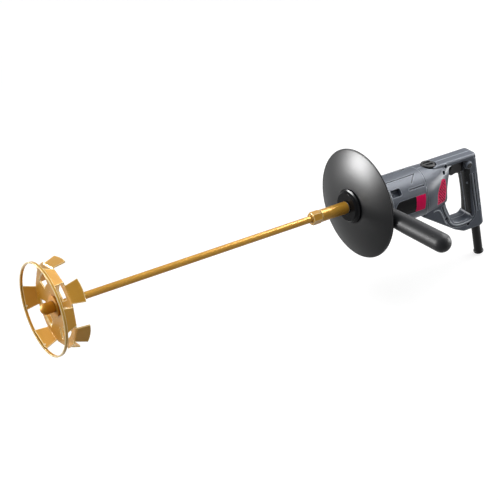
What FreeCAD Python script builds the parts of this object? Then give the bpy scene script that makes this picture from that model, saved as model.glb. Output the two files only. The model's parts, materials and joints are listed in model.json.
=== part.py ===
import FreeCAD, Part
import math
import os

# Mixing drill with a disc stirrer: a hand-held electric mixer, in millimetres.
# It is modelled with the spindle axis on X, the stirrer towards -X, up is +Z and the left side is -Y.
# x = 0 lies in the plane of the guard's rim. The finished parts are moved so that the origin of the part
# is the middle of the main grip, where a hand holds the tool.

V = FreeCAD.Vector
X_AXIS = V(1, 0, 0)
Y_AXIS = V(0, 1, 0)
Z_AXIS = V(0, 0, 1)

# Clearances
RUN_FIT = 0.05            # radial, a shaft or hub that turns in its seat
SEAT_FIT = 0.05           # radial, a piece pushed into its seat
FREE_GAP = 0.4            # moving piece beside a fixed one
SEAM_GAP = 0.3            # visible joint line between two mouldings

# Stirrer
RING_RADIUS = 70.2
RING_BAND = 4.2
RING_THICK = 2.0
RING_FRONT_X = -562.6
SHEET = 2.0
DISC_X = -541.0           # mid plane of the disc
FOLD_APOTHEM = 60.0       # distance of each fold line from the axis
BEND_RADIUS = 2.4         # of a fold, at the middle of the sheet
LEAF_COUNT = 12
LEAF_GAP = 2.0            # from a corner of the sheet to the nearest leaf
TAB_ANGLES = (18, 78, 198, 258)
BLADE_ANGLES = (48, 108, 168, 228, 288, 348)
STUB_ANGLES = (138, 318)
STUB_LENGTH = 2.5
BLADE_LENGTH = 19.0
BLADE_LEAN = 14.0         # degrees outwards
BLADE_CROWN = 2.0         # bulge of a blade's outer edge
WINDOW_ANGLES = (48, 138, 228, 318)
WINDOW_IN = 33.0
WINDOW_OUT = 50.0
WINDOW_SPANS = ((-26.0, 4.5), (19.0, 26.0))   # a wide and a narrow opening at each angle

ROD_RADIUS = 5.5
ROD_STUD_RADIUS = 4.0
ROD_SHOULDER = 8.0        # radius of the welded shoulder behind the disc
ROD_SHOULDER_LENGTH = 7.0
CAP_FLANGE = 15.5
CAP_FLANGE_THICK = 3.0
CAP_RADIUS = 8.5
CAP_LENGTH = 23.0
HEX_FLATS = 19.0
HEX_X = -92.0
SLEEVE_X = -75.0
SLEEVE_END_X = -22.0
SLEEVE_RADIUS = 10.0
SLEEVE_LAP = 6.0          # how far the rod's end enters the sleeve
STUD_RADIUS = 7.0
STUD_DEPTH = 42.0

# Guard and its collar nut
GUARD_RADIUS = 91.0
GUARD_DEPTH = 13.0
GUARD_SHEET = 2.0
GUARD_HUB = 29.0
GUARD_SAG = 2.4           # how far the dish stands out from a plain cone
COLLAR_FRONT_X = -21.5
COLLAR_FRONT_RADIUS = 24.4
COLLAR_BASE_RADIUS = 28.5
COLLAR_WALL = 3.2

# Spindle and its bearings
SPINDLE_RADIUS = 9.0
JOURNAL_RADIUS = 7.5
REAR_JOURNAL = 4.0
SEAL_X = -2.0
SEAL_WIDTH = 7.0
SEAL_RADIUS = 15.0
BEARING_X = 8.0
BEARING_WIDTH = 9.0
BEARING_RADIUS = 16.0
BUSH_RADIUS = 6.0

# Gear housing
NOSE_RADIUS = 18.0
NECK_RADIUS = 21.5
NECK_END_X = 24.0
CASE_X = 44.0             # joint between gear housing and motor housing
FLANGE_THICK = 4.0

# Gear train: two stages between the armature and the spindle
PRESSURE = math.radians(25)
BACKLASH = 0.14
ADDENDUM = 0.85
DEDENDUM = 1.25
PINION_SHIFT = 0.3
MODULE_FAST = 0.8
PINION_TEETH = 8
LAY_GEAR_TEETH = 42
MODULE_SLOW = 1.25
LAY_PINION_TEETH = 9
OUTPUT_TEETH = 36
OUTPUT_X = 45.0
OUTPUT_WIDTH = 12.0
LAY_GEAR_X = 60.0
LAY_GEAR_WIDTH = 7.0
LAY_SHAFT_RADIUS = 4.0
PLATE_X = 70.0
PLATE_THICK = 8.0

# Motor
MOTOR_Z = -14.0
FAST_CENTRES = MODULE_FAST * (PINION_TEETH + LAY_GEAR_TEETH) / 2
SLOW_CENTRES = MODULE_SLOW * (LAY_PINION_TEETH + OUTPUT_TEETH) / 2
LAY_Z = (FAST_CENTRES ** 2 - SLOW_CENTRES ** 2 - MOTOR_Z ** 2) / (-2 * MOTOR_Z)
LAY_Y = math.sqrt(SLOW_CENTRES ** 2 - LAY_Z ** 2)
LAY_FROM_SPINDLE = math.atan2(LAY_Z, LAY_Y)
LAY_FROM_MOTOR = math.atan2(LAY_Z - MOTOR_Z, LAY_Y)
BODY_WALL = 3.2
GEAR_ROOM = 1.6           # between the lay gear's rim and the body's wall
BODY_FLAT = 1.6           # half of the short flats between the body's large corners
BODY_HALF = FAST_CENTRES + MODULE_FAST * LAY_GEAR_TEETH / 2 + GEAR_ROOM + BODY_WALL
BODY_TOP = MOTOR_Z + BODY_HALF + 0.4
BODY_LOW = MOTOR_Z - BODY_HALF
BODY_CORNER = BODY_HALF - BODY_FLAT
ARMATURE_X = 98.0
ARMATURE_LENGTH = 34.0
ARMATURE_RADIUS = 20.5
AIR_GAP = 0.6
SHAFT_RADIUS = 5.0
FAN_X = 80.0
FAN_WIDTH = 10.0
FAN_RADIUS = BODY_HALF - BODY_WALL - 5.4
FAN_BLADES = 9
WINDING_OUT = 5.5         # how far the windings stand out of the core
COMMUTATOR_X = 138.0
COMMUTATOR_LENGTH = 12.0
COMMUTATOR_RADIUS = 12.0
COMMUTATOR_BARS = 16
REAR_BEARING_X = 152.0
REAR_BEARING_WIDTH = 6.0
REAR_BEARING_RADIUS = 9.5
REAR_SHAFT_RADIUS = 3.5
FRONT_BEARING_RADIUS = 11.0
FRONT_BEARING_WIDTH = 7.0
YOKE_RADIUS = BODY_HALF - 11.6
POLE_HALF = 14.0
BRUSH_X = 144.0
BRUSH_SIZE = 6.0
BRUSH_LENGTH = 7.4
HOLDER_WALL = 1.5

# Rear handle
SEAM_FRONT_X = 117.0      # foremost point of the joint with the motor housing, an arc in side view
SEAM_RADIUS = 75.0
SEAM_CENTRE = (SEAM_FRONT_X + SEAM_RADIUS, -5.0)
SEAM_OPEN = 0.8           # width of that joint at the surface
SEAM_LOW = BODY_LOW - 1.4  # below this the chin runs forward under the body
FLANK_X = 122.0           # where the column starts to draw in
FLANK_END_X = 190.0       # where it has the width of the loop
FLANK_CURVE = 1.3         # 1 gives a straight taper, more starts it gently
COLUMN_RISE = 4.0         # how far the underside rises along the column
LOOP_HALF = 15.5
LOOP_EDGE = 4.0
GRIP_TOP = BODY_TOP + 1.5
BAR_DEPTH = 9.0           # height of the top bar
BAR_LOW = GRIP_TOP - BAR_DEPTH
BAR_TOP_Z = -94.0         # top and underside of the lower bar
BAR_BASE_Z = -118.0
GRIP_FRONT_TOP = (218.6, BAR_LOW)
GRIP_FRONT_LOW = (248.0, BAR_TOP_Z)
GRIP_REAR_TOP = (246.0, GRIP_TOP)
GRIP_REAR_LOW = (282.6, BAR_BASE_Z)
GRIP_FRONT_ROUND = 9.0    # the grip's long edges are rounder than the rest of the loop
GRIP_REAR_ROUND = 10.5
BAR_TURN = (233.0, 14.0)  # x and radius where the underside turns up into the chin
CHIN_LOW = (212.0, -108.5)
CHIN_FRONT_X = 136.0
OPENING_TOP_X = 179.5
OPENING_WAIST = (176.0, -14.0)
OPENING_CHIN = (184.0, -52.0)
OPENING_LOW_X = 206.0
CHIN_CREASE = 8.5         # distance of the crease from the opening
GRIP_CENTRE = V((GRIP_FRONT_TOP[0] + GRIP_FRONT_LOW[0] + GRIP_REAR_TOP[0] + GRIP_REAR_LOW[0]) / 4, 0,
                (BAR_LOW + BAR_TOP_Z + GRIP_TOP + BAR_BASE_Z) / 4)

# Controls
TRIGGER_X = 192.0
TRIGGER_REAR_X = 216.0
TRIGGER_STEM_X = 227.0
TRIGGER_HALF = 9.5
TRIGGER_STEM_HALF = 6.0
TRIGGER_LOW = -1.0
TRIGGER_TRAVEL = 6.0
SWITCH_X = 233.6
SWITCH_LENGTH = 14.0
SWITCH_HALF = 10.0
SWITCH_LOW = -26.0
SWITCH_HIGH = 14.0
BUTTON_X = 226.0
BUTTON_Z = 13.0
BUTTON_RADIUS = 6.6
BUTTON_PROUD = 4.0
BUTTON_TRAVEL = 2.5
BUTTON_SEAT_Y = -TRIGGER_HALF - FREE_GAP - 1.0
BUTTON_STEM = 3.0
DIAL_X = 148.5
DIAL_RADIUS = 12.0
DIAL_SEAT_Z = BODY_TOP - 1.6
DIAL_HEIGHT = 4.6
DIAL_STEM = 2.4
DIAL_SEAT_GROW = 1.6      # the recess is larger than the dial and set back
DIAL_SEAT_SHIFT = 1.2
MODULE_TOP = DIAL_SEAT_Z - 3.5
MODULE_HALF = 7.5
MODULE_HEIGHT = 10.0

# Vents
VENT_CORNERS = ((147.5, -33.5, 4), (172.0, -36.5, 3), (173.6, -14, 30),
                (165.5, 8, 3), (156.5, 11.5, 4), (141.5, -6, 22))
VENT_THICK = 2.6
VENT_HOLE = 3.0
VENT_PITCH = 5.2
VENT_LEDGE = 2.6

# Cord boot
BOOT_BACK = 11.1          # from the loop's rear corner to the boot
BOOT_X = GRIP_REAR_LOW[0] - BOOT_BACK
BOOT_Z = BAR_BASE_Z
BOOT_LEAN = 14.0
BOOT_LENGTH = 66.0
BOOT_RADIUS = 7.7
BOOT_BEAD = 9.0
CORD_RADIUS = 3.8
CORD_CHANNEL = 5.2
BOOT_SOCKET = 12.0
BOOT_FLANGE = 3.0
BOOT_RISE = 100.0

# Side handle
BAND_X = 12.0
BAND_WIDTH = 15.0
BAND_THICK = 5.0
SIDE_TILT = 5.0           # degrees towards the rear
SIDE_DROOP = 0.0          # degrees below level
SIDE_STUD_RADIUS = 5.0
SIDE_STUD_DEEP = 50.0     # thread inside the grip
SIDE_GRIP_START = 41.0    # distances along the side handle, from the spindle axis
SIDE_GRIP_END = 174.0
SIDE_GRIP_RADIUS = 15.5
SIDE_FLANGE = 17.0

# Label panels on the left of the motor housing
LABEL_X = 49.0
LABEL_SPLIT_X = 92.0
LABEL_END_X = SEAM_FRONT_X - 5.0
LABEL_LOW = -25.0
LABEL_HIGH = 2.0
LABEL_FRONT = 12.0        # radius of the front corners
LABEL_DEEP = 0.6
LABEL_PROUD = 0.2

# Creases in the motor housing
CREASE_Y = 10.0
CREASE_WIDE = 2.0
CREASE_DEEP = 1.2
CREASE_TIP_X = 111.0
CREASE_BARB = (93.0, 25.0)
STEP_LINE = (82.0, 114.0, 12.6)

# Ribs on the grip
RIB_OFFSETS = (8.0, 14.0, 20.0)
RIB_TOP = -6.0
RIB_LOW = -84.0
RIB_WIDE = 2.0
RIB_DEEP = 1.0

# Screws: (x, z) of the handle screws, which run along Y
HANDLE_SCREWS = ((174.5, 24.2), (165.5, 17.5), (172, -43.5), (187, -79),
                 (240, -105), (267.5, -72), (241.5, 24.5))
SCREW_HEAD = 2.9
SCREW_SHANK = 1.6
SCREW_HEAD_Y = -9.0
SCREW_END_Y = 9.0
CASE_SCREW_ANGLES = (46, 152, 208, 314)
CASE_SCREW_RADIUS = BODY_HALF - 3.6
CASE_SCREW_HEAD = 2.8
CASE_SCREW_SHANK = 1.8
POCKET_X = 46.0
POCKET_END_X = 66.0
POCKET_HALF = 6.4


# Helpers

def point_xz(a, b):
    return V(a, 0, b)


def point_xy(a, b):
    return V(a, b, 0)


def point_yz(a, b):
    return V(0, a, b)


def outline(corners, place):
    """Closed wire through corners (a, b, radius): each corner is rounded by its own radius."""
    flat = [V(a, b, 0) for a, b, radius in corners]
    spans = []
    for i, (a, b, radius) in enumerate(corners):
        to_last = (flat[i - 1] - flat[i]).normalize()
        to_next = (flat[(i + 1) % len(flat)] - flat[i]).normalize()
        half = to_last.getAngle(to_next) / 2
        reach = radius / math.tan(half)
        middle = flat[i]
        if radius:
            middle = middle + (to_last + to_next).normalize() * (radius / math.sin(half) - radius)
        spans.append((flat[i] + to_last * reach, middle, flat[i] + to_next * reach, radius))
    edges = []
    for i, (start, middle, end, radius) in enumerate(spans):
        if radius:
            edges.append(Part.Arc(*[place(p.x, p.y) for p in (start, middle, end)]).toShape())
        after = spans[(i + 1) % len(spans)][0]
        if (after - end).Length > 1e-6:
            edges.append(Part.makeLine(place(end.x, end.y), place(after.x, after.y)))
    return Part.Wire(edges)


def sharp(points):
    return [(a, b, 0) for a, b in points]


def slab(corners, low, high):
    """A plate in side view (x, z), from y = low to y = high."""
    face = Part.Face(outline(corners, point_xz))
    face.translate(V(0, low, 0))
    return face.extrude(V(0, high - low, 0))


def plan(corners, low, high):
    """A plate in plan view (x, y), from z = low to z = high."""
    face = Part.Face(outline(corners, point_xy))
    face.translate(V(0, 0, low))
    return face.extrude(V(0, 0, high - low))


def section(corners, x, length):
    """A bar whose section (y, z) runs along X."""
    face = Part.Face(outline(corners, point_yz))
    face.translate(V(x, 0, 0))
    return face.extrude(V(length, 0, 0))


def block(x0, x1, y0, y1, z0, z1):
    return Part.makeBox(x1 - x0, y1 - y0, z1 - z0, V(x0, y0, z0))


def rod(x0, x1, radius, y=0, z=0):
    return Part.makeCylinder(radius, x1 - x0, V(x0, y, z), X_AXIS)


def tube(x0, x1, outer, inner, y=0, z=0):
    return rod(x0, x1, outer, y, z).cut(rod(x0 - 1, x1 + 1, inner, y, z))


def turned(points, y=0, z=0):
    """Solid of revolution about an axis along X: points are (x, radius)."""
    wire = Part.makePolygon([V(x, 0, r) for x, r in points] + [V(points[0][0], 0, points[0][1])])
    shape = Part.Face(wire).revolve(V(0, 0, 0), X_AXIS, 360)
    shape.translate(V(0, y, z))
    return shape


def fused(shapes):
    whole = shapes[0].fuse(shapes[1:]) if len(shapes) > 1 else shapes[0]
    return whole.removeSplitter()


def around_x(shape, degrees, y=0, z=0):
    turned_copy = shape.copy()
    turned_copy.rotate(V(0, y, z), X_AXIS, degrees)
    return turned_copy


def mirrored(shape):
    """The same piece on the other side of the tool."""
    return shape.mirror(V(0, 0, 0), Y_AXIS)


def edges_on_sides(shape, half):
    """Edges that lie wholly in the two planes y = half and y = -half."""
    chosen = []
    for edge in shape.Edges:
        box = edge.BoundBox
        if box.YLength < 1e-4 and abs(abs(box.Center.y) - half) < 1e-4:
            chosen.append(edge)
    return chosen


# Gear geometry

def involute(angle):
    return math.tan(angle) - angle


def gear(teeth, module, shift, phase, x, width, y=0, z=0):
    """Spur gear about an axis along X, with a tooth centred at phase radians from +Y towards +Z."""
    pitch = teeth * module / 2
    base = pitch * math.cos(PRESSURE)
    tip = pitch + module * (ADDENDUM + shift)
    root = pitch - module * (DEDENDUM - shift)
    thickness = module * (math.pi / 2 + 2 * shift * math.tan(PRESSURE)) - BACKLASH
    half_pitch = thickness / (2 * pitch) + involute(PRESSURE)
    start = max(base, root)
    flank = []
    for radius in (start, start + 0.5 * (tip - start), tip):
        flank.append((radius, half_pitch - involute(math.acos(min(1.0, base / radius)))))
    if root < start:
        flank.insert(0, (root, flank[0][1]))
    points = []
    for i in range(teeth):
        centre = phase + 2 * math.pi * i / teeth
        points += [(radius, centre - half) for radius, half in flank]
        points += [(radius, centre + half) for radius, half in reversed(flank)]
    corners = [V(x, y + r * math.cos(a), z + r * math.sin(a)) for r, a in points]
    return Part.Face(Part.makePolygon(corners + corners[:1])).extrude(V(width, 0, 0))


def pitch_radius(teeth, module):
    return teeth * module / 2


def tip_radius(teeth, module):
    """Outer radius of a gear wheel (the pinions carry the opposite profile shift)."""
    return pitch_radius(teeth, module) + module * (ADDENDUM - PINION_SHIFT)


# Stirrer

def fold_half():
    """Half length of the fold line of a leaf."""
    return FOLD_APOTHEM * math.tan(math.pi / LEAF_COUNT) - LEAF_GAP


def fold_setback(lean):
    """Length of flat sheet that a fold takes up on each side of its corner."""
    return BEND_RADIUS * math.tan(math.radians(90 - lean) / 2)


def leaf(angle, length, lean, forward, crown):
    """One tab or blade of the stirrer, folded over along its chord and leaning outwards."""
    half = fold_half()
    tip_half = half * (1 + length / FOLD_APOTHEM) - crown / 2
    tilt = math.radians(lean)
    way = -1 if forward else 1
    along = V(way * math.cos(tilt), 0, math.sin(tilt))
    normal = V(-way * math.sin(tilt), 0, math.cos(tilt))
    side = V(0, 1, 0)
    setback = fold_setback(lean)
    corner = V(DISC_X, 0, FOLD_APOTHEM) - normal * (SHEET / 2)
    a = corner + along * setback - side * half
    b = corner + along * setback + side * half
    c = corner + along * length + side * tip_half
    d = corner + along * length - side * tip_half
    outer = Part.Arc(c, corner + along * (length + crown), d).toShape() if crown else Part.makeLine(c, d)
    wire = Part.Wire([Part.makeLine(a, b), Part.makeLine(b, c), outer, Part.makeLine(d, a)])
    plate = Part.Face(wire).extrude(normal * SHEET)
    root_z = FOLD_APOTHEM - setback
    root = [V(DISC_X + x, y, root_z) for x, y in ((-SHEET / 2, -half), (SHEET / 2, -half),
                                                  (SHEET / 2, half), (-SHEET / 2, half))]
    rectangle = Part.Face(Part.makePolygon(root + root[:1]))
    bend = rectangle.revolve(V(DISC_X + way * BEND_RADIUS, 0, root_z), Y_AXIS, way * (90 - lean))
    return around_x(plate.fuse(bend), angle)


def disc_window(start, end):
    """Opening in the stirrer disc: a piece of a ring between two angles."""
    def at(radius, degrees):
        turn = math.radians(degrees)
        return V(DISC_X - SHEET, -radius * math.sin(turn), radius * math.cos(turn))

    middle = (start + end) / 2
    outer = [at(WINDOW_OUT, degrees) for degrees in (start, middle, end)]
    inner = [at(WINDOW_IN, degrees) for degrees in (end, middle, start)]
    edges = [Part.Arc(*outer).toShape(), Part.makeLine(outer[2], inner[0]),
             Part.Arc(*inner).toShape(), Part.makeLine(inner[2], outer[0])]
    return Part.Face(Part.Wire(edges)).extrude(V(2 * SHEET, 0, 0))


def disc_blank(leaves):
    """Twelve-sided sheet, set back for the fold of each leaf (angle, lean), with its openings."""
    corner = FOLD_APOTHEM / math.cos(math.pi / LEAF_COUNT)
    turns = [math.pi * (2 * i + 1) / LEAF_COUNT + math.radians(TAB_ANGLES[0]) for i in range(LEAF_COUNT)]
    points = sharp([(-corner * math.sin(t), corner * math.cos(t)) for t in turns])
    front = DISC_X - SHEET / 2
    cuts = [rod(DISC_X - SHEET, DISC_X + SHEET, ROD_STUD_RADIUS + SEAT_FIT)]
    for angle, lean in leaves:
        edge = FOLD_APOTHEM - fold_setback(lean)
        waste = block(DISC_X - SHEET, DISC_X + SHEET, -corner, corner, edge, corner)
        cuts.append(around_x(waste, angle))
    for angle in WINDOW_ANGLES:
        cuts += [disc_window(angle + start, angle + end) for start, end in WINDOW_SPANS]
    return section(points, front, SHEET).cut(cuts)


def stirrer_disc():
    """Sheet with openings, forward tabs that carry the ring and rear blades."""
    half = fold_half()
    front = DISC_X - SHEET / 2
    stub = block(front, front + SHEET, -half, half, FOLD_APOTHEM - SHEET, FOLD_APOTHEM + STUB_LENGTH)
    stubs = [around_x(stub, angle) for angle in STUB_ANGLES]
    reach = RING_FRONT_X + RING_BAND / 2 - DISC_X
    tab_half = half * (1 + abs(reach) / FOLD_APOTHEM)
    tab_apothem = math.sqrt((RING_RADIUS - RING_THICK) ** 2 - tab_half ** 2) - SHEET / 2 - SEAT_FIT
    lean = math.degrees(math.atan2(tab_apothem - FOLD_APOTHEM, abs(reach)))
    length = math.hypot(tab_apothem - FOLD_APOTHEM, reach)
    blank = disc_blank([(a, lean) for a in TAB_ANGLES] + [(a, BLADE_LEAN) for a in BLADE_ANGLES])
    leaves = [leaf(a, length, lean, True, 0) for a in TAB_ANGLES]
    leaves += [leaf(a, BLADE_LENGTH, BLADE_LEAN, False, BLADE_CROWN) for a in BLADE_ANGLES]
    return fused([blank] + stubs + leaves)


def stirrer_ring():
    return tube(RING_FRONT_X, RING_FRONT_X + RING_BAND, RING_RADIUS, RING_RADIUS - RING_THICK)


def stirrer_rod():
    seat = DISC_X + SHEET / 2
    end = SLEEVE_X + SLEEVE_LAP
    return turned([(seat - SHEET - CAP_LENGTH / 2, 0), (seat - SHEET - CAP_LENGTH / 2, ROD_STUD_RADIUS),
                   (seat, ROD_STUD_RADIUS), (seat, ROD_SHOULDER), (seat + ROD_SHOULDER_LENGTH, ROD_SHOULDER),
                   (seat + ROD_SHOULDER_LENGTH + 2, ROD_RADIUS), (end, ROD_RADIUS), (end, 0)])


def stirrer_cap_nut():
    seat = DISC_X - SHEET / 2
    flange = seat - CAP_FLANGE_THICK
    dome = seat - CAP_LENGTH
    shape = fused([rod(flange, seat, CAP_FLANGE), rod(dome + CAP_RADIUS, flange, CAP_RADIUS),
                   Part.makeSphere(CAP_RADIUS, V(dome + CAP_RADIUS, 0, 0))])
    bore = rod(seat - CAP_LENGTH / 2 - 1, seat + 1, ROD_STUD_RADIUS + SEAT_FIT)
    return shape.cut(bore)


def rod_hex():
    across = HEX_FLATS / math.sqrt(3)
    prism = section(hex_points(across), HEX_X, SLEEVE_X - HEX_X)
    chamfer = across - HEX_FLATS / 2
    blank = turned([(HEX_X, 0), (HEX_X, HEX_FLATS / 2), (HEX_X + chamfer, across),
                    (SLEEVE_X - chamfer, across), (SLEEVE_X, HEX_FLATS / 2), (SLEEVE_X, 0)])
    return prism.common(blank).cut(rod(HEX_X - 1, SLEEVE_X + 1, ROD_RADIUS + SEAT_FIT))


def coupling_sleeve():
    edge = 1.0
    shape = turned([(SLEEVE_X, 0), (SLEEVE_X, SLEEVE_RADIUS - edge), (SLEEVE_X + edge, SLEEVE_RADIUS),
                    (SLEEVE_END_X - edge, SLEEVE_RADIUS), (SLEEVE_END_X, SLEEVE_RADIUS - edge),
                    (SLEEVE_END_X, 0)])
    socket = rod(SLEEVE_X - 1, SLEEVE_X + SLEEVE_LAP, ROD_RADIUS + SEAT_FIT)
    thread = rod(SLEEVE_END_X - STUD_DEPTH, SLEEVE_END_X + 1, STUD_RADIUS + SEAT_FIT)
    return shape.cut([socket, thread])


# Guard and nose

def guard():
    """Dished splash guard: an arc of sheet from the flat hub to a rolled rim."""
    roll = GUARD_SHEET * 0.7
    edge = GUARD_RADIUS - roll
    hub_x = -GUARD_DEPTH
    bore = NOSE_RADIUS + SEAT_FIT

    def face_line(x):
        middle = V(hub_x / 2 - GUARD_SAG + x, 0, (GUARD_HUB + edge) / 2)
        return [V(hub_x + x, 0, GUARD_HUB), middle, V(x, 0, edge)]

    front = face_line(0)
    rear = face_line(GUARD_SHEET)
    front_hub = V(hub_x, 0, bore)
    rear_hub = V(hub_x + GUARD_SHEET, 0, bore)
    edges = [Part.makeLine(front_hub, front[0]), Part.Arc(*front).toShape(),
             Part.makeLine(front[2], rear[2]), Part.Arc(*reversed(rear)).toShape(),
             Part.makeLine(rear[0], rear_hub), Part.makeLine(rear_hub, front_hub)]
    dish = Part.Face(Part.Wire(edges)).revolve(V(0, 0, 0), X_AXIS, 360)
    rim = Part.makeTorus(edge, roll, V(GUARD_SHEET / 2, 0, 0), X_AXIS)
    return dish.fuse(rim).removeSplitter()


def guard_collar():
    base_x = -GUARD_DEPTH
    front_x = COLLAR_FRONT_X
    edge = 1.2
    step_x = (base_x + front_x) / 2
    shape = turned([(front_x, SPINDLE_RADIUS + FREE_GAP), (front_x, COLLAR_FRONT_RADIUS - edge),
                    (front_x + edge, COLLAR_FRONT_RADIUS), (step_x, COLLAR_FRONT_RADIUS + edge),
                    (step_x + edge, COLLAR_BASE_RADIUS), (base_x, COLLAR_BASE_RADIUS),
                    (base_x, SPINDLE_RADIUS + FREE_GAP)])
    thread = rod(front_x + COLLAR_WALL, base_x + 1, NOSE_RADIUS + SEAT_FIT)
    return shape.cut(thread)


def body_corners(inset=0.0):
    """The motor body's section: a rectangle with large corners, drawn in by the inset."""
    half = BODY_HALF - inset
    low = BODY_LOW + inset
    top = BODY_TOP - inset
    corner = BODY_CORNER - inset
    return [(-half, low, corner), (half, low, corner), (half, top, corner), (-half, top, corner)]


def loft(stations):
    """Solid through outlines across the tool: stations are (x, corners)."""
    wires = []
    for x, corners in stations:
        wire = outline(corners, point_yz)
        wire.translate(V(x, 0, 0))
        wires.append(wire)
    return Part.makeLoft(wires, True, len(wires) == 2)


def body_section(x0, x1, inset=0.0):
    return section(body_corners(inset), x0, x1 - x0)


def case_cone(x0, small, x1, large):
    """Flare between the round neck on the spindle axis and the body's section."""
    corner = small - 1.0
    neck = [(y, z, corner) for y, z in ((-small, -small), (small, -small), (small, small), (-small, small))]
    return loft([(x0, neck), (x1, large)])


def gear_housing():
    nose_x = COLLAR_FRONT_X + COLLAR_WALL + SEAM_GAP
    shoulder_x = -GUARD_DEPTH + GUARD_SHEET
    flange_x = CASE_X - FLANGE_THICK
    bearing_end = BEARING_X + BEARING_WIDTH
    outer = fused([rod(nose_x, shoulder_x, NOSE_RADIUS), rod(shoulder_x, NECK_END_X, NECK_RADIUS),
                   case_cone(NECK_END_X, NECK_RADIUS, flange_x, body_corners()),
                   body_section(flange_x, CASE_X)])
    hollow = fused([case_cone(bearing_end + 2, BEARING_RADIUS - 1, CASE_X - 1, body_corners(BODY_WALL)),
                    body_section(CASE_X - 1, CASE_X + 1, BODY_WALL)])
    lugs = [rod(NECK_END_X + 8, CASE_X, BUSH_RADIUS + 3, LAY_Y, LAY_Z)]
    holes = []
    for angle in CASE_SCREW_ANGLES:
        lug = rod(NECK_END_X + 8, CASE_X, CASE_SCREW_HEAD + 1.8, 0, MOTOR_Z + CASE_SCREW_RADIUS)
        hole = rod(NECK_END_X + 10, CASE_X + 1, CASE_SCREW_SHANK + SEAT_FIT, 0, MOTOR_Z + CASE_SCREW_RADIUS)
        lugs.append(around_x(lug, angle, 0, MOTOR_Z))
        holes.append(around_x(hole, angle, 0, MOTOR_Z))
    cuts = [rod(BEARING_X, bearing_end + 3, BEARING_RADIUS + SEAT_FIT),
            rod(nose_x - 1, SEAL_X + 1, SPINDLE_RADIUS + FREE_GAP),
            rod(SEAL_X, SEAL_X + SEAL_WIDTH, SEAL_RADIUS + SEAT_FIT),
            rod(SEAL_X, BEARING_X + 1, SEAL_RADIUS - 2),
            rod(CASE_X - 9, CASE_X + 1, BUSH_RADIUS + SEAT_FIT, LAY_Y, LAY_Z)]
    return outer.cut(hollow.cut(lugs)).cut(cuts + holes)


def oil_seal():
    end = SEAL_X + SEAL_WIDTH
    wall = 2.0
    lip = SPINDLE_RADIUS + RUN_FIT
    return turned([(SEAL_X, SEAL_RADIUS), (end, SEAL_RADIUS), (end, SEAL_RADIUS - wall),
                   (SEAL_X + wall, SEAL_RADIUS - wall), (SEAL_X + wall, lip), (SEAL_X, lip)])


def ball_bearing(x, width, outer, inner, y=0, z=0):
    """A sealed ball bearing: its two rings and the shields set back between them."""
    land = (outer - inner) / 4
    dip = width / 8
    end = x + width
    return turned([(x, inner), (x, inner + land), (x + dip, inner + land), (x + dip, outer - land),
                   (x, outer - land), (x, outer), (end, outer), (end, outer - land),
                   (end - dip, outer - land), (end - dip, inner + land),
                   (end, inner + land), (end, inner)], y, z)


def spindle():
    bearing_end = BEARING_X + BEARING_WIDTH + FREE_GAP
    bearing_x = BEARING_X - FREE_GAP
    stud_x = SLEEVE_END_X - STUD_DEPTH + 2
    gear_end = OUTPUT_X + OUTPUT_WIDTH
    return turned([(stud_x, 0), (stud_x, STUD_RADIUS - 1), (stud_x + 1, STUD_RADIUS),
                   (SLEEVE_END_X, STUD_RADIUS), (SLEEVE_END_X, SPINDLE_RADIUS),
                   (bearing_x, SPINDLE_RADIUS), (bearing_x, JOURNAL_RADIUS),
                   (bearing_end, JOURNAL_RADIUS), (bearing_end, SPINDLE_RADIUS), (OUTPUT_X, SPINDLE_RADIUS),
                   (OUTPUT_X, JOURNAL_RADIUS), (gear_end, JOURNAL_RADIUS), (gear_end, REAR_JOURNAL),
                   (PLATE_X - 2, REAR_JOURNAL), (PLATE_X - 2, 0)])


def output_gear():
    wheel = gear(OUTPUT_TEETH, MODULE_SLOW, -PINION_SHIFT, LAY_FROM_SPINDLE + math.pi / OUTPUT_TEETH,
                 OUTPUT_X, OUTPUT_WIDTH)
    recess = tube(OUTPUT_X - 1, OUTPUT_X + 2.5, 18.5, 12)
    return wheel.cut([rod(OUTPUT_X - 1, OUTPUT_X + OUTPUT_WIDTH + 1, JOURNAL_RADIUS + SEAT_FIT), recess])


def lay_shaft():
    pinion_x = OUTPUT_X - 1
    pinion_end = OUTPUT_X + OUTPUT_WIDTH + 1
    teeth = gear(LAY_PINION_TEETH, MODULE_SLOW, PINION_SHIFT, LAY_FROM_SPINDLE + math.pi, pinion_x + FREE_GAP,
                 pinion_end - pinion_x, LAY_Y, LAY_Z)
    shaft = rod(CASE_X - 8, PLATE_X + PLATE_THICK, LAY_SHAFT_RADIUS, LAY_Y, LAY_Z)
    return fused([teeth, shaft])


def lay_gear():
    phase = LAY_FROM_MOTOR + math.pi + math.pi / LAY_GEAR_TEETH
    wheel = gear(LAY_GEAR_TEETH, MODULE_FAST, -PINION_SHIFT, phase, LAY_GEAR_X, LAY_GEAR_WIDTH, LAY_Y, LAY_Z)
    recess = tube(LAY_GEAR_X - 1, LAY_GEAR_X + 1.5, 13, 7, LAY_Y, LAY_Z)
    hole = rod(LAY_GEAR_X - 1, LAY_GEAR_X + LAY_GEAR_WIDTH + 1, LAY_SHAFT_RADIUS + SEAT_FIT, LAY_Y, LAY_Z)
    return wheel.cut([recess, hole])


def bush(x, length, y, z):
    return tube(x, x + length, BUSH_RADIUS, LAY_SHAFT_RADIUS + RUN_FIT, y, z)


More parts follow.
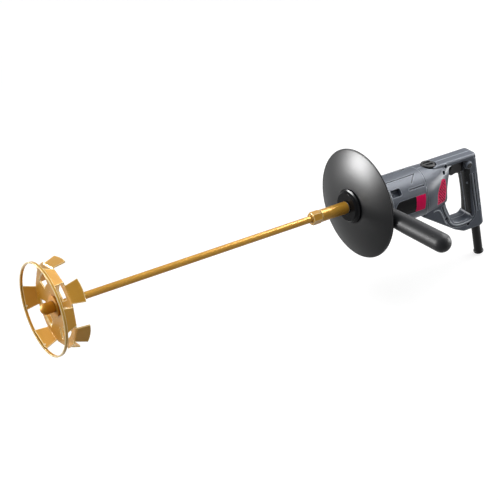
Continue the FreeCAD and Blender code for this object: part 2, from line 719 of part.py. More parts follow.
def gear_plate():
    disc = body_section(PLATE_X, PLATE_X + PLATE_THICK, BODY_WALL + SEAT_FIT)
    boss = rod(OUTPUT_X + OUTPUT_WIDTH + 1.2, PLATE_X, BUSH_RADIUS + 2.2)
    end = PLATE_X + PLATE_THICK + 1
    cuts = [rod(OUTPUT_X, PLATE_X - 1, BUSH_RADIUS + SEAT_FIT),
            rod(PLATE_X - 1, end, BUSH_RADIUS + SEAT_FIT, LAY_Y, LAY_Z),
            rod(PLATE_X + 1, end, FRONT_BEARING_RADIUS + SEAT_FIT, 0, MOTOR_Z),
            rod(PLATE_X - 1, end, SHAFT_RADIUS + FREE_GAP, 0, MOTOR_Z)]
    return fused([disc, boss]).cut(cuts)


# Motor

def armature_shaft():
    pinion_x = LAY_GEAR_X - 1
    journal_end = PLATE_X + 1 + FRONT_BEARING_WIDTH + FREE_GAP
    rear_x = REAR_BEARING_X - FREE_GAP
    rear_end = REAR_BEARING_X + REAR_BEARING_WIDTH
    teeth = gear(PINION_TEETH, MODULE_FAST, PINION_SHIFT, LAY_FROM_MOTOR,
                 pinion_x, PLATE_X - 1 - pinion_x, 0, MOTOR_Z)
    shaft = turned([(PLATE_X - 1, 0), (PLATE_X - 1, LAY_SHAFT_RADIUS), (journal_end, LAY_SHAFT_RADIUS),
                    (journal_end, SHAFT_RADIUS), (rear_x, SHAFT_RADIUS), (rear_x, REAR_SHAFT_RADIUS),
                    (rear_end, REAR_SHAFT_RADIUS), (rear_end, 0)], 0, MOTOR_Z)
    return fused([teeth, shaft])


def on_shaft(shape, x0, x1):
    return shape.cut(rod(x0 - 1, x1 + 1, SHAFT_RADIUS + SEAT_FIT, 0, MOTOR_Z))


def fan():
    hub = rod(FAN_X, FAN_X + FAN_WIDTH, 9, 0, MOTOR_Z)
    plate = rod(FAN_X, FAN_X + 1.6, FAN_RADIUS, 0, MOTOR_Z)
    blade = block(FAN_X, FAN_X + FAN_WIDTH, -0.9, 0.9, MOTOR_Z + 8, MOTOR_Z + FAN_RADIUS - 1)
    blades = [around_x(blade, 360 / FAN_BLADES * i, 0, MOTOR_Z) for i in range(FAN_BLADES)]
    return on_shaft(fused([hub, plate] + blades), FAN_X, FAN_X + FAN_WIDTH)


def armature_core():
    end = ARMATURE_X + ARMATURE_LENGTH
    slot = block(ARMATURE_X - 1, end + 1, -1.2, 1.2, MOTOR_Z + 13, MOTOR_Z + ARMATURE_RADIUS + 1)
    slots = [around_x(slot, 30 * i, 0, MOTOR_Z) for i in range(12)]
    return on_shaft(rod(ARMATURE_X, end, ARMATURE_RADIUS, 0, MOTOR_Z).cut(slots), ARMATURE_X, end)


def armature_windings():
    bells = []
    for face, way in ((ARMATURE_X, -1), (ARMATURE_X + ARMATURE_LENGTH, 1)):
        out = WINDING_OUT * way
        hole = SHAFT_RADIUS + SEAT_FIT
        bell = [(face, hole), (face, ARMATURE_RADIUS - 1.5), (face + out * 0.5, ARMATURE_RADIUS - 2),
                (face + out, ARMATURE_RADIUS - 6), (face + out, hole)]
        bells.append(turned(bell, 0, MOTOR_Z))
    return Part.makeCompound(bells)


def commutator():
    end = COMMUTATOR_X + COMMUTATOR_LENGTH
    drum = fused([rod(COMMUTATOR_X, end, COMMUTATOR_RADIUS, 0, MOTOR_Z),
                  rod(COMMUTATOR_X, COMMUTATOR_X + 2, COMMUTATOR_RADIUS + 2, 0, MOTOR_Z)])
    surface = MOTOR_Z + COMMUTATOR_RADIUS
    slit = block(COMMUTATOR_X - 1, end + 1, -0.3, 0.3, surface - 1.2, surface + 3)
    slits = [around_x(slit, 360 / COMMUTATOR_BARS * i, 0, MOTOR_Z) for i in range(COMMUTATOR_BARS)]
    return on_shaft(drum.cut(slits), COMMUTATOR_X, end)


def stator_core():
    end = ARMATURE_X + ARMATURE_LENGTH
    pack = body_section(ARMATURE_X, end, BODY_WALL + SEAT_FIT).common(column(BODY_WALL + FREE_GAP))
    window = rod(ARMATURE_X - 1, end + 1, YOKE_RADIUS, 0, MOTOR_Z)
    reach = YOKE_RADIUS + 2
    poles = block(ARMATURE_X - 2, end + 2, -reach, reach, MOTOR_Z - POLE_HALF, MOTOR_Z + POLE_HALF)
    bore = rod(ARMATURE_X - 1, end + 1, ARMATURE_RADIUS + AIR_GAP, 0, MOTOR_Z)
    return pack.cut([window.cut(poles), bore])


def field_coils():
    """Two windings, one round each pole, bent to the curve of the yoke."""
    x0 = ARMATURE_X - WINDING_OUT + 1
    x1 = ARMATURE_X + ARMATURE_LENGTH + WINDING_OUT - 1
    layer = tube(x0, x1, YOKE_RADIUS - FREE_GAP, ARMATURE_RADIUS + AIR_GAP + 1, 0, MOTOR_Z)
    coil_half = 24.0
    outside = block(x0, x1, 4, YOKE_RADIUS + 2, MOTOR_Z - coil_half, MOTOR_Z + coil_half)
    inside = block(ARMATURE_X - FREE_GAP, ARMATURE_X + ARMATURE_LENGTH + FREE_GAP, 0, YOKE_RADIUS + 3,
                   MOTOR_Z - POLE_HALF - FREE_GAP, MOTOR_Z + POLE_HALF + FREE_GAP)
    coil = layer.common(outside).cut(inside)
    return Part.makeCompound([coil, mirrored(coil)])


def seam_cylinder(radius):
    """The arc of the joint between motor housing and handle, seen from the side."""
    start = V(SEAM_CENTRE[0], -2 * BODY_HALF, SEAM_CENTRE[1])
    return Part.makeCylinder(radius, 4 * BODY_HALF, start, Y_AXIS)


def label_block(x0, x1, front, inner, outer, grow=0.0):
    """Thin panel let into the left flank; front is the radius of its front corners."""
    skin = body_section(x0 - 5, x1 + 5, -outer).cut(body_section(x0 - 6, x1 + 6, inner))
    low = LABEL_LOW - grow
    high = LABEL_HIGH + grow
    corners = [(x0 - grow, low, front), (x1 + grow, low, 0), (x1 + grow, high, 0), (x0 - grow, high, front)]
    side = slab(corners, -BODY_HALF - 2, -BODY_HALF * 0.6)
    return skin.common(side)


def label_panel_black():
    return label_block(LABEL_X, LABEL_SPLIT_X - SEAM_GAP / 2, LABEL_FRONT, LABEL_DEEP, LABEL_PROUD)


def label_panel_red():
    return label_block(LABEL_SPLIT_X + SEAM_GAP / 2, LABEL_END_X, 0, LABEL_DEEP, LABEL_PROUD)


def arrow_groove():
    """Shallow crease along the flat top that turns back like an arrow head, and the step line below it."""
    edge = CREASE_Y
    wide = CREASE_WIDE
    tip_x, barb_x, barb_y = CREASE_TIP_X, CREASE_BARB[0], CREASE_BARB[1]
    arrow = plan(sharp([(CASE_X - 1, -edge), (tip_x, -edge), (barb_x, -barb_y), (barb_x - wide, -barb_y),
                        (tip_x - 3 * wide, -edge - wide), (CASE_X - 1, -edge - wide)]), MOTOR_Z, BODY_TOP + 1)
    step_x0, step_x1, step_z = STEP_LINE
    step = block(step_x0, step_x1, -BODY_HALF, -BODY_HALF / 2, step_z, step_z + wide)
    end = SEAM_CENTRE[0]
    skin = body_section(CASE_X - 2, end, -3).cut(body_section(CASE_X - 3, end + 1, CREASE_DEEP))
    return [arrow.common(skin), step.common(skin)]


def motor_housing():
    end = SEAM_CENTRE[0] - 20
    form = body_section(CASE_X, end)
    hollow = form.cut(body_section(CASE_X - 1, end + 1, BODY_WALL))
    cuts = [seam_cylinder(SEAM_RADIUS + SEAM_OPEN),
            label_block(LABEL_X, LABEL_END_X, LABEL_FRONT, LABEL_DEEP + SEAT_FIT, 1, SEAM_GAP / 2)]
    lugs = []
    half = POCKET_HALF
    floor = MOTOR_Z + CASE_SCREW_RADIUS - CASE_SCREW_HEAD - 0.6
    gear_room = rod(CASE_X - 1, PLATE_X, tip_radius(OUTPUT_TEETH, MODULE_SLOW) + 1)
    for angle in CASE_SCREW_ANGLES:
        lug = block(CASE_X, POCKET_END_X + 2, -half - 2, half + 2, floor - 2, floor + 14)
        corners = [(POCKET_X, -half, 0), (POCKET_END_X, -half, 3),
                   (POCKET_END_X, half, 3), (POCKET_X, half, 0)]
        pocket = plan(corners, floor, floor + 20)
        hole = rod(CASE_X - 1, POCKET_X + 1, CASE_SCREW_SHANK + SEAT_FIT, 0, MOTOR_Z + CASE_SCREW_RADIUS)
        lugs.append(around_x(lug, angle, 0, MOTOR_Z).common(form).cut(gear_room))
        cuts += [around_x(pocket, angle, 0, MOTOR_Z), around_x(hole, angle, 0, MOTOR_Z)]
    for groove in arrow_groove():
        cuts += [groove, mirrored(groove)]
    return fused([hollow] + lugs).cut(cuts)


def gear_case_screws():
    screws = []
    for angle in CASE_SCREW_ANGLES:
        z = MOTOR_Z + CASE_SCREW_RADIUS
        head = rod(POCKET_X, POCKET_X + 4, CASE_SCREW_HEAD, 0, z)
        shank = rod(NECK_END_X + 11, POCKET_X, CASE_SCREW_SHANK, 0, z)
        socket = section(hex_points(1.6), POCKET_X + 2, 3)
        socket.translate(V(0, 0, z))
        screws.append(around_x(fused([head, shank]).cut(socket), angle, 0, MOTOR_Z))
    return Part.makeCompound(screws)


def hex_points(radius):
    turns = [math.radians(60 * i) for i in range(6)]
    return sharp([(radius * math.cos(turn), radius * math.sin(turn)) for turn in turns])


# Rear handle

def flank_half(x):
    """Half width of the column in plan view: it draws in from the body to the loop of the grip."""
    share = max(0.0, (x - FLANK_X) / (FLANK_END_X - FLANK_X))
    return BODY_HALF + (LOOP_HALF - BODY_HALF) * share ** FLANK_CURVE


def column(inset=0.0):
    """Flank of the handle, lofted from the body's section to the loop's width."""
    stations = []
    length = FLANK_END_X - FLANK_X
    for x in [FLANK_X - 40, FLANK_X - 20] + [FLANK_X + length * i / 4 for i in range(5)]:
        share = max(0.0, (x - FLANK_X) / length)
        half = flank_half(x) - inset
        low = BODY_LOW + COLUMN_RISE * share + inset
        top = BODY_TOP + (GRIP_TOP - BODY_TOP) * share - inset
        corner = BODY_CORNER * flank_half(x) / BODY_HALF - inset
        corners = [(y, z, corner) for y, z in ((-half, low), (half, low), (half, top), (-half, top))]
        stations.append((x, corners))
    return loft(stations)


def loop_outer():
    front = SEAM_FRONT_X
    return [(DIAL_X, GRIP_TOP, 0), (*GRIP_REAR_TOP, 6), (*GRIP_REAR_LOW, 12),
            (BAR_TURN[0], BAR_BASE_Z, BAR_TURN[1]), (*CHIN_LOW, 22),
            (CHIN_FRONT_X, SEAM_LOW - 4.5, 0), (front + 15, SEAM_LOW + 7, 0),
            (front + 17, MOTOR_Z, 0), (DIAL_X, 0, 0)]


def loop_opening():
    return [(OPENING_TOP_X, BAR_LOW, 5), (*OPENING_WAIST, 60), (*OPENING_CHIN, 70),
            (OPENING_LOW_X, BAR_TOP_Z, 26), (*GRIP_FRONT_LOW, 9), (*GRIP_FRONT_TOP, 5)]


def stack(stations):
    """Solid through plan outlines: stations are (z, corners)."""
    wires = []
    for z, corners in stations:
        wire = outline(corners, point_xy)
        wire.translate(V(0, 0, z))
        wires.append(wire)
    return Part.makeLoft(wires, True, False)


def grip_line(front, z):
    """x of the grip's front or rear line at a height."""
    top, low = (GRIP_FRONT_TOP, GRIP_FRONT_LOW) if front else (GRIP_REAR_TOP, GRIP_REAR_LOW)
    return top[0] + (low[0] - top[0]) * (z - top[1]) / (low[1] - top[1])


def grip_front_waste():
    """What rounds the front edges of the grip, running out towards the bars."""
    margin = LOOP_EDGE + 0.3
    stations = []
    for share, radius in ((0.0, margin), (0.16, GRIP_FRONT_ROUND), (0.84, GRIP_FRONT_ROUND), (1.0, margin)):
        z = BAR_LOW - 2 + (BAR_TOP_Z + 4 - BAR_LOW) * share
        front = grip_line(True, z)
        rear = front + 4 * GRIP_FRONT_ROUND
        stations.append((z, [(front, -LOOP_HALF, radius), (rear, -LOOP_HALF, 1),
                             (rear, LOOP_HALF, 1), (front, LOOP_HALF, radius)]))
    top = stations[0][0]
    low = stations[-1][0]
    top_x = grip_line(True, top)
    low_x = grip_line(True, low)
    shave = sharp([(top_x - 1, top), (low_x - 1, low), (low_x + GRIP_FRONT_ROUND, low),
                   (top_x + GRIP_FRONT_ROUND, top)])
    return slab(shave, -LOOP_HALF - 1, LOOP_HALF + 1).cut(stack(stations))


def grip_rear_form():
    """The loop seen from above: its rear is rounded, and drawn in a little at the very top."""
    stations = []
    for z, inset in ((BAR_BASE_Z - 1, 0), (GRIP_TOP - 4, 0), (GRIP_TOP, 1.6)):
        rear = grip_line(False, z) - inset
        half = LOOP_HALF - inset * 0.2
        stations.append((z, [(SEAM_FRONT_X, -half - 1, 1), (rear, -half, GRIP_REAR_ROUND),
                             (rear, half, GRIP_REAR_ROUND), (SEAM_FRONT_X, half + 1, 1)]))
    lower = stack(stations[:2])
    return lower.fuse(stack(stations[1:]))


def grip_loop():
    """Top bar, grip, lower bar and chin as one rounded ring round the hand opening."""
    ring = slab(loop_outer(), -LOOP_HALF, LOOP_HALF).cut(slab(loop_opening(), -LOOP_HALF - 1, LOOP_HALF + 1))
    ring = ring.makeFillet(LOOP_EDGE, edges_on_sides(ring, LOOP_HALF))
    return ring.common(grip_rear_form()).cut(grip_front_waste())


def chin_crease():
    """Groove that follows the opening round the chin and along the lower bar."""
    opening = Part.Face(outline(loop_opening(), point_xz))
    band = opening.makeOffset2D(CHIN_CREASE + CREASE_WIDE).cut(opening.makeOffset2D(CHIN_CREASE))
    band.translate(V(0, -LOOP_HALF - 1, 0))
    end = GRIP_FRONT_LOW[0] + CHIN_CREASE
    low_part = block(CHIN_FRONT_X, end, -BODY_HALF, 0, 2 * BAR_BASE_Z, OPENING_CHIN[1])
    groove = band.extrude(V(0, 1 + RIB_DEEP, 0)).common(low_part)
    return [groove, mirrored(groove)]


def handle_form():
    reach = 2 * BODY_HALF
    front = block(SEAM_FRONT_X - SEAM_RADIUS, SEAM_CENTRE[0], -reach, reach, SEAM_LOW, reach)
    opening = slab(loop_opening(), -reach, reach)
    form = fused([column().cut(opening), grip_loop()])
    return form.cut([front.cut(seam_cylinder(SEAM_RADIUS))] + grip_ribs() + chin_crease())


def grip_ribs():
    """Shallow grooves along both sides of the grip."""
    rake = (GRIP_FRONT_LOW[0] - GRIP_FRONT_TOP[0]) / (GRIP_FRONT_TOP[1] - GRIP_FRONT_LOW[1])
    grooves = []
    for offset in RIB_OFFSETS:
        x0 = GRIP_FRONT_TOP[0] + rake * (GRIP_FRONT_TOP[1] - RIB_TOP) + offset
        x1 = GRIP_FRONT_TOP[0] + rake * (GRIP_FRONT_TOP[1] - RIB_LOW) + offset
        wide = RIB_WIDE
        corners = [(x0, RIB_TOP, 0.4), (x0 + wide, RIB_TOP, 0.4),
                   (x1 + wide, RIB_LOW, 0.4), (x1, RIB_LOW, 0.4)]
        groove = slab(corners, -LOOP_HALF - 1, -LOOP_HALF + RIB_DEEP)
        grooves += [groove, mirrored(groove)]
    return grooves


def upright(radius, height, x, z):
    """A cylinder that stands on the point (x, 0, z)."""
    return Part.makeCylinder(radius, height, V(x, 0, z), Z_AXIS)


def control_cavities():
    """Room for the trigger, the switch, the speed dial and its module."""
    finger = TRIGGER_HALF + FREE_GAP
    stem = TRIGGER_STEM_HALF + FREE_GAP
    low = TRIGGER_LOW - FREE_GAP
    front = TRIGGER_X + 5
    trigger_room = block(front, TRIGGER_REAR_X + TRIGGER_TRAVEL + FREE_GAP, -finger, finger, low, BAR_LOW)
    stem_room = block(front, SWITCH_X + 1, -stem, stem, low, BAR_LOW)
    case = SWITCH_HALF + SEAT_FIT
    switch = block(SWITCH_X - SEAT_FIT, SWITCH_X + SWITCH_LENGTH + SEAT_FIT, -case, case,
                   SWITCH_LOW - SEAT_FIT, SWITCH_HIGH + SEAT_FIT)
    dial = upright(DIAL_RADIUS + DIAL_SEAT_GROW, 10, DIAL_X + DIAL_SEAT_SHIFT, DIAL_SEAT_Z - FREE_GAP)
    dial_stem = upright(DIAL_STEM + RUN_FIT, 20, DIAL_X, MODULE_TOP)
    half = MODULE_HALF + SEAT_FIT
    module = block(DIAL_X - half, DIAL_X + half, -half, half, MODULE_TOP - MODULE_HEIGHT, MODULE_TOP)
    return [trigger_room, stem_room, switch, dial, dial_stem, module]


def handle_cavities():
    """Everything that is cut from both handle halves."""
    reach = 2 * BODY_HALF
    motor = column(BODY_WALL).common(block(FLANK_X - 20, REAR_BEARING_X - 1, -reach, reach, -reach, reach))
    seat_end = REAR_BEARING_X + REAR_BEARING_WIDTH + 0.5
    seat = rod(REAR_BEARING_X - 2, seat_end, REAR_BEARING_RADIUS + SEAT_FIT, 0, MOTOR_Z)
    cord = along_boot(upright(CORD_CHANNEL, BOOT_RISE, 0, 0))
    neck = along_boot(upright(BOOT_RADIUS + SEAT_FIT, BOOT_SOCKET + 20, 0, -20))
    groove = along_boot(upright(BOOT_BEAD + SEAT_FIT, BOOT_FLANGE + 2 * SEAT_FIT, 0,
                                BOOT_SOCKET - BOOT_FLANGE - SEAT_FIT))
    return [motor, seat, cord, neck, groove] + control_cavities() + screw_holes()


def along_boot(shape):
    """Moves a shape from the Z axis to the cord boot's axis; z = 0 is where the boot leaves the handle."""
    moved = shape.copy()
    moved.rotate(V(0, 0, 0), Y_AXIS, -BOOT_LEAN)
    moved.translate(V(BOOT_X, 0, BOOT_Z))
    return moved


def side_rod(x, z, y0, y1, radius):
    return Part.makeCylinder(radius, y1 - y0, V(x, y0, z), Y_AXIS)


def screw_holes():
    holes = []
    for x, z in HANDLE_SCREWS:
        holes.append(side_rod(x, z, -2 * BODY_HALF, SCREW_HEAD_Y + 2.5, SCREW_HEAD + 0.2))
        holes.append(side_rod(x, z, SCREW_HEAD_Y, SCREW_END_Y, SCREW_SHANK + SEAT_FIT))
    return holes


def handle_screws():
    screws = []
    for x, z in HANDLE_SCREWS:
        head = side_rod(x, z, SCREW_HEAD_Y, SCREW_HEAD_Y + 2.5, SCREW_HEAD)
        shank = side_rod(x, z, SCREW_HEAD_Y + 2.5, SCREW_END_Y, SCREW_SHANK)
        slot = block(x - 2, x + 2, SCREW_HEAD_Y - 1, SCREW_HEAD_Y + 1, z - 0.4, z + 0.4)
        cross = block(x - 0.4, x + 0.4, SCREW_HEAD_Y - 1, SCREW_HEAD_Y + 1, z - 2, z + 2)
        screws.append(fused([head, shank]).cut([slot, cross]))
    return Part.makeCompound(screws)


def vent_slab(inset, low, high):
    """The vent's outline in side view, drawn in by the inset, from y = low to y = high."""
    face = Part.Face(outline(VENT_CORNERS, point_xz))
    if inset:
        face = face.makeOffset2D(-inset)
    face.translate(V(0, low, 0))
    return face.extrude(V(0, high - low, 0))


def vent_pocket():
    """Recess that takes the grille, with the air duct behind it."""
    recess = vent_slab(-SEAT_FIT, -BODY_HALF, 0).cut(column(VENT_THICK + SEAT_FIT))
    duct = vent_slab(VENT_LEDGE, -BODY_HALF, -REAR_BEARING_RADIUS - 4)
    return recess.fuse(duct)


def vent_grille():
    """Curved insert cut from the flank's own skin, pierced by a net of rhombic holes."""
    plate = column().cut(column(VENT_THICK)).common(vent_slab(0, -BODY_HALF, 0))
    field = vent_slab(VENT_LEDGE - 1, -1, 1)
    box = field.BoundBox
    reach = VENT_HOLE / 2
    holes = []
    for i in range(int(box.XLength / VENT_PITCH) + 1):
        for j in range(int(2 * box.ZLength / VENT_PITCH) + 1):
            x = box.XMin + (i + (j % 2) / 2) * VENT_PITCH
            z = box.ZMin + j * VENT_PITCH / 2
            rhomb = sharp([(x - reach, z), (x, z - reach), (x + reach, z), (x, z + reach)])
            if slab(rhomb, -1, 1).common(field).Volume > 3.99 * reach ** 2:
                holes.append(slab(rhomb, -BODY_HALF, 0))
    return plate.cut(holes)


def handle_shells():
    form = handle_form()
    pocket = vent_pocket()
    whole = form.cut(handle_cavities() + [pocket, mirrored(pocket)])
    reach = 2 * GRIP_REAR_LOW[0]
    left = whole.common(block(0, reach, -reach, 0, -reach, reach))
    right = whole.common(block(0, reach, 0, reach, -reach, reach))
    button = [side_rod(BUTTON_X, BUTTON_Z, -3 * LOOP_HALF, BUTTON_SEAT_Y, BUTTON_RADIUS + RUN_FIT),
              side_rod(BUTTON_X, BUTTON_Z, -LOOP_HALF, 0, BUTTON_STEM + FREE_GAP)]
    return left.cut(button), right


# Controls

def trigger():
    top = BAR_LOW - FREE_GAP
    step = (top + TRIGGER_LOW) / 2
    front = TRIGGER_X
    low = TRIGGER_LOW
    rear = TRIGGER_REAR_X
    profile = [(front + 1.5, top, 0), (front + 1.5, top - 5, 3), (front, step - 2, 5),
               (front - 1, low + 1.5, 2), (front + 4, low, 2), (front + 12, low + 2, 6),
               (rear - 2, low, 1), (rear, low, 0), (rear, top, 0)]
    finger = slab(profile, -TRIGGER_HALF, TRIGGER_HALF)
    stem = block(TRIGGER_REAR_X - 1, TRIGGER_STEM_X, -TRIGGER_STEM_HALF, TRIGGER_STEM_HALF, TRIGGER_LOW, top)
    return fused([finger, stem])


def switch_body():
    end = SWITCH_X + SWITCH_LENGTH
    half = SWITCH_HALF
    case = block(SWITCH_X, end, -half, half, SWITCH_LOW, SWITCH_HIGH)
    lid = block(SWITCH_X + 3, end - 3, -half + 2, half - 2, SWITCH_LOW - 1, SWITCH_LOW + 1.5)
    return case.cut(lid)


def lock_button():
    front = -LOOP_HALF - BUTTON_PROUD
    rear = BUTTON_SEAT_Y - BUTTON_TRAVEL - FREE_GAP
    edge = 1.0
    cap = side_rod(BUTTON_X, BUTTON_Z, front, rear, BUTTON_RADIUS)
    rim = [e for e in cap.Edges if abs(e.BoundBox.Center.y - front) < 1e-4]
    stem_end = -TRIGGER_STEM_HALF - BUTTON_TRAVEL - FREE_GAP
    return fused([cap.makeChamfer(edge, rim), side_rod(BUTTON_X, BUTTON_Z, rear - 1, stem_end, BUTTON_STEM)])


def speed_dial():
    knob = upright(DIAL_RADIUS, DIAL_HEIGHT, DIAL_X, DIAL_SEAT_Z)
    top = DIAL_SEAT_Z + DIAL_HEIGHT
    rim = [e for e in knob.Edges if abs(e.BoundBox.Center.z - top) < 1e-4 and e.BoundBox.ZLength < 1e-4]
    knob = knob.makeFillet(1.2, rim)
    x0 = DIAL_X - DIAL_RADIUS + 4.5
    x1 = DIAL_X + DIAL_RADIUS - 4.5
    scoop = plan([(x0, -6.5, 3), (x1, -6.5, 3), (x1, -1.5, 0), (x0, -1.5, 0)], top - 2, top + 1)
    stem = upright(DIAL_STEM, DIAL_SEAT_Z - MODULE_TOP - FREE_GAP + 1, DIAL_X, MODULE_TOP + FREE_GAP)
    return fused([knob.cut([scoop, mirrored(scoop)]), stem])


def speed_module():
    half = MODULE_HALF
    return block(DIAL_X - half, DIAL_X + half, -half, half, MODULE_TOP - MODULE_HEIGHT, MODULE_TOP)


def brush_holder():
    inner = COMMUTATOR_RADIUS + 3
    outer = flank_half(BRUSH_X + BRUSH_SIZE) - BODY_WALL - 0.5
    half = BRUSH_SIZE / 2 + HOLDER_WALL
    shell = block(BRUSH_X - half, BRUSH_X + half, -outer, -inner, MOTOR_Z - half, MOTOR_Z + half)
    gap = BRUSH_SIZE / 2 + SEAT_FIT
    hole = block(BRUSH_X - gap, BRUSH_X + gap, -outer + HOLDER_WALL, -inner + 1, MOTOR_Z - gap, MOTOR_Z + gap)
    return shell.cut(hole)


def brush_spring():
    """Rolled strip spring behind a brush."""
    coil = BRUSH_SIZE / 2 - 0.3
    y = -COMMUTATOR_RADIUS - FREE_GAP - BRUSH_LENGTH - coil - SEAT_FIT
    return tube(BRUSH_X - BRUSH_SIZE / 2 + 0.4, BRUSH_X + BRUSH_SIZE / 2 - 0.4, coil, coil - 0.6, y, MOTOR_Z)


def brush():
    end = -COMMUTATOR_RADIUS - FREE_GAP
    half = BRUSH_SIZE / 2
    return block(BRUSH_X - half, BRUSH_X + half, end - BRUSH_LENGTH, end, MOTOR_Z - half, MOTOR_Z + half)


def both_sides(shape):
    return Part.makeCompound([shape, mirrored(shape)])


# Cord boot

def cord_boot():
    body = Part.makeCylinder(BOOT_RADIUS, BOOT_SOCKET + BOOT_LENGTH, V(0, 0, -BOOT_LENGTH), Z_AXIS)
    flange = Part.makeCylinder(BOOT_BEAD, BOOT_FLANGE, V(0, 0, BOOT_SOCKET - BOOT_FLANGE), Z_AXIS)
    bead_height = 5.0
    bead = Part.makeCylinder(BOOT_BEAD, bead_height, V(0, 0, -BOOT_LENGTH), Z_AXIS)
    bead = bead.makeFillet(1.8, [e for e in bead.Edges if e.BoundBox.ZLength < 1e-4])
    bore = Part.makeCylinder(CORD_RADIUS, BOOT_SOCKET + BOOT_LENGTH + 2, V(0, 0, -BOOT_LENGTH - 1), Z_AXIS)
    return along_boot(fused([body, flange, bead]).cut(bore))


# Side handle

def side_place(shape):
    """Moves a shape drawn along -Y from the spindle axis to the side handle's own line."""
    moved = shape.copy()
    moved.rotate(V(0, 0, 0), Z_AXIS, SIDE_TILT)
    moved.translate(V(BAND_X, 0, 0))
    moved.rotate(V(0, 0, 0), X_AXIS, SIDE_DROOP)
    return moved


def side_turned(points):
    """Solid of revolution about the side handle's line: points are (distance along it, radius)."""
    corners = [V(r, -s, 0) for s, r in points]
    return Part.Face(Part.makePolygon(corners + corners[:1])).revolve(V(0, 0, 0), Y_AXIS, 360)


def side_band():
    inner = NECK_RADIUS + RUN_FIT
    ring = tube(BAND_X - BAND_WIDTH / 2, BAND_X + BAND_WIDTH / 2, inner + BAND_THICK, inner)
    boss_end = SIDE_GRIP_START - FREE_GAP
    boss = side_place(side_turned([(NECK_RADIUS + 2, 0), (NECK_RADIUS + 2, 9), (boss_end, 9), (boss_end, 0)]))
    bore = side_place(side_turned([(NECK_RADIUS + 5, 0), (NECK_RADIUS + 5, SIDE_STUD_RADIUS + SEAT_FIT),
                                   (boss_end + 1, SIDE_STUD_RADIUS + SEAT_FIT), (boss_end + 1, 0)]))
    return fused([ring, boss]).cut(bore)


def side_stud():
    start = NECK_RADIUS + 5 + SEAT_FIT
    end = SIDE_GRIP_START + SIDE_STUD_DEEP
    return side_place(side_turned([(start, 0), (start, SIDE_STUD_RADIUS), (end, SIDE_STUD_RADIUS), (end, 0)]))


def side_grip():
    s = SIDE_GRIP_START
    e = SIDE_GRIP_END
    r = SIDE_GRIP_RADIUS
    profile = [(s, 0), (s, SIDE_FLANGE - 1.5), (s + 1.5, SIDE_FLANGE), (s + 3, SIDE_FLANGE), (s + 6, r - 0.6),
               (s + 12, r - 2), (s + 60, r - 0.4), (e, r)]
    corners = [V(radius, -along, 0) for along, radius in profile]
    edges = [Part.makeLine(a, b) for a, b in zip(corners, corners[1:])]
    half = r * math.sqrt(0.5)
    edges.append(Part.Arc(corners[-1], V(half, -e - half, 0), V(0, -e - r, 0)).toShape())
    edges.append(Part.makeLine(V(0, -e - r, 0), corners[0]))
    solid = Part.Face(Part.Wire(edges)).revolve(V(0, 0, 0), Y_AXIS, 360)
    hole = SIDE_STUD_RADIUS + SEAT_FIT
    deep = s + SIDE_STUD_DEEP + 1
    bore = side_turned([(s - 1, 0), (s - 1, hole), (deep, hole), (deep, 0)])
    return side_place(solid.cut(bore))


def all_parts():
    left, right = handle_shells()
    grille = vent_grille()
    spindle_bush_x = OUTPUT_X + OUTPUT_WIDTH + 1.2
    return {
        "stirrer_disc": stirrer_disc(),
        "stirrer_ring": stirrer_ring(),
        "stirrer_rod": stirrer_rod(),
        "stirrer_cap_nut": stirrer_cap_nut(),
        "rod_hex": rod_hex(),
        "coupling_sleeve": coupling_sleeve(),
        "spindle": spindle(),
        "output_gear": output_gear(),
        "guard": guard(),
        "guard_collar": guard_collar(),
        "gear_housing": gear_housing(),
        "oil_seal": oil_seal(),
        "spindle_bearing": ball_bearing(BEARING_X, BEARING_WIDTH, BEARING_RADIUS, JOURNAL_RADIUS + RUN_FIT),
        "spindle_bush": bush(spindle_bush_x, PLATE_X - 1 - spindle_bush_x, 0, 0),
        "lay_shaft": lay_shaft(),
        "lay_gear": lay_gear(),
        "lay_front_bush": bush(CASE_X - 9, 8, LAY_Y, LAY_Z),
        "lay_rear_bush": bush(PLATE_X, PLATE_THICK, LAY_Y, LAY_Z),
        "gear_plate": gear_plate(),
        "gear_case_screws": gear_case_screws(),
        "armature_shaft": armature_shaft(),
        "armature_core": armature_core(),
        "armature_windings": armature_windings(),
        "commutator": commutator(),
        "fan": fan(),
        "armature_front_bearing": ball_bearing(PLATE_X + 1, FRONT_BEARING_WIDTH, FRONT_BEARING_RADIUS,
                                               LAY_SHAFT_RADIUS + RUN_FIT, 0, MOTOR_Z),
        "armature_rear_bearing": ball_bearing(REAR_BEARING_X, REAR_BEARING_WIDTH, REAR_BEARING_RADIUS,
                                              REAR_SHAFT_RADIUS + RUN_FIT, 0, MOTOR_Z),
        "stator_core": stator_core(),
        "field_coils": field_coils(),
        "motor_housing": motor_housing(),
        "label_panel_black": label_panel_black(),
        "label_panel_red": label_panel_red(),
        "handle_shell_left": left,
        "handle_shell_right": right,
        "handle_screws": handle_screws(),
        "vent_grille_left": grille,
        "vent_grille_right": mirrored(grille),
        "trigger": trigger(),
        "switch_body": switch_body(),
        "lock_button": lock_button(),
        "speed_dial": speed_dial(),
        "speed_module": speed_module(),
        "brush_holders": both_sides(brush_holder()),
        "brushes": both_sides(brush()),
        "brush_springs": both_sides(brush_spring()),
        "cord_boot": cord_boot(),
        "side_handle_band": side_band(),
        "side_handle_stud": side_stud(),
        "side_handle_grip": side_grip(),
    }


os.makedirs("parts", exist_ok=True)
for node, shape in all_parts().items():
    shape.translate(-GRIP_CENTRE)
    shape.exportStep("parts/" + node + ".step")
    print(node, "solids", len(shape.Solids), "valid", shape.isValid(), "volume %.0f" % shape.Volume)
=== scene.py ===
import json
import math

import bpy
from mathutils import Matrix, Vector


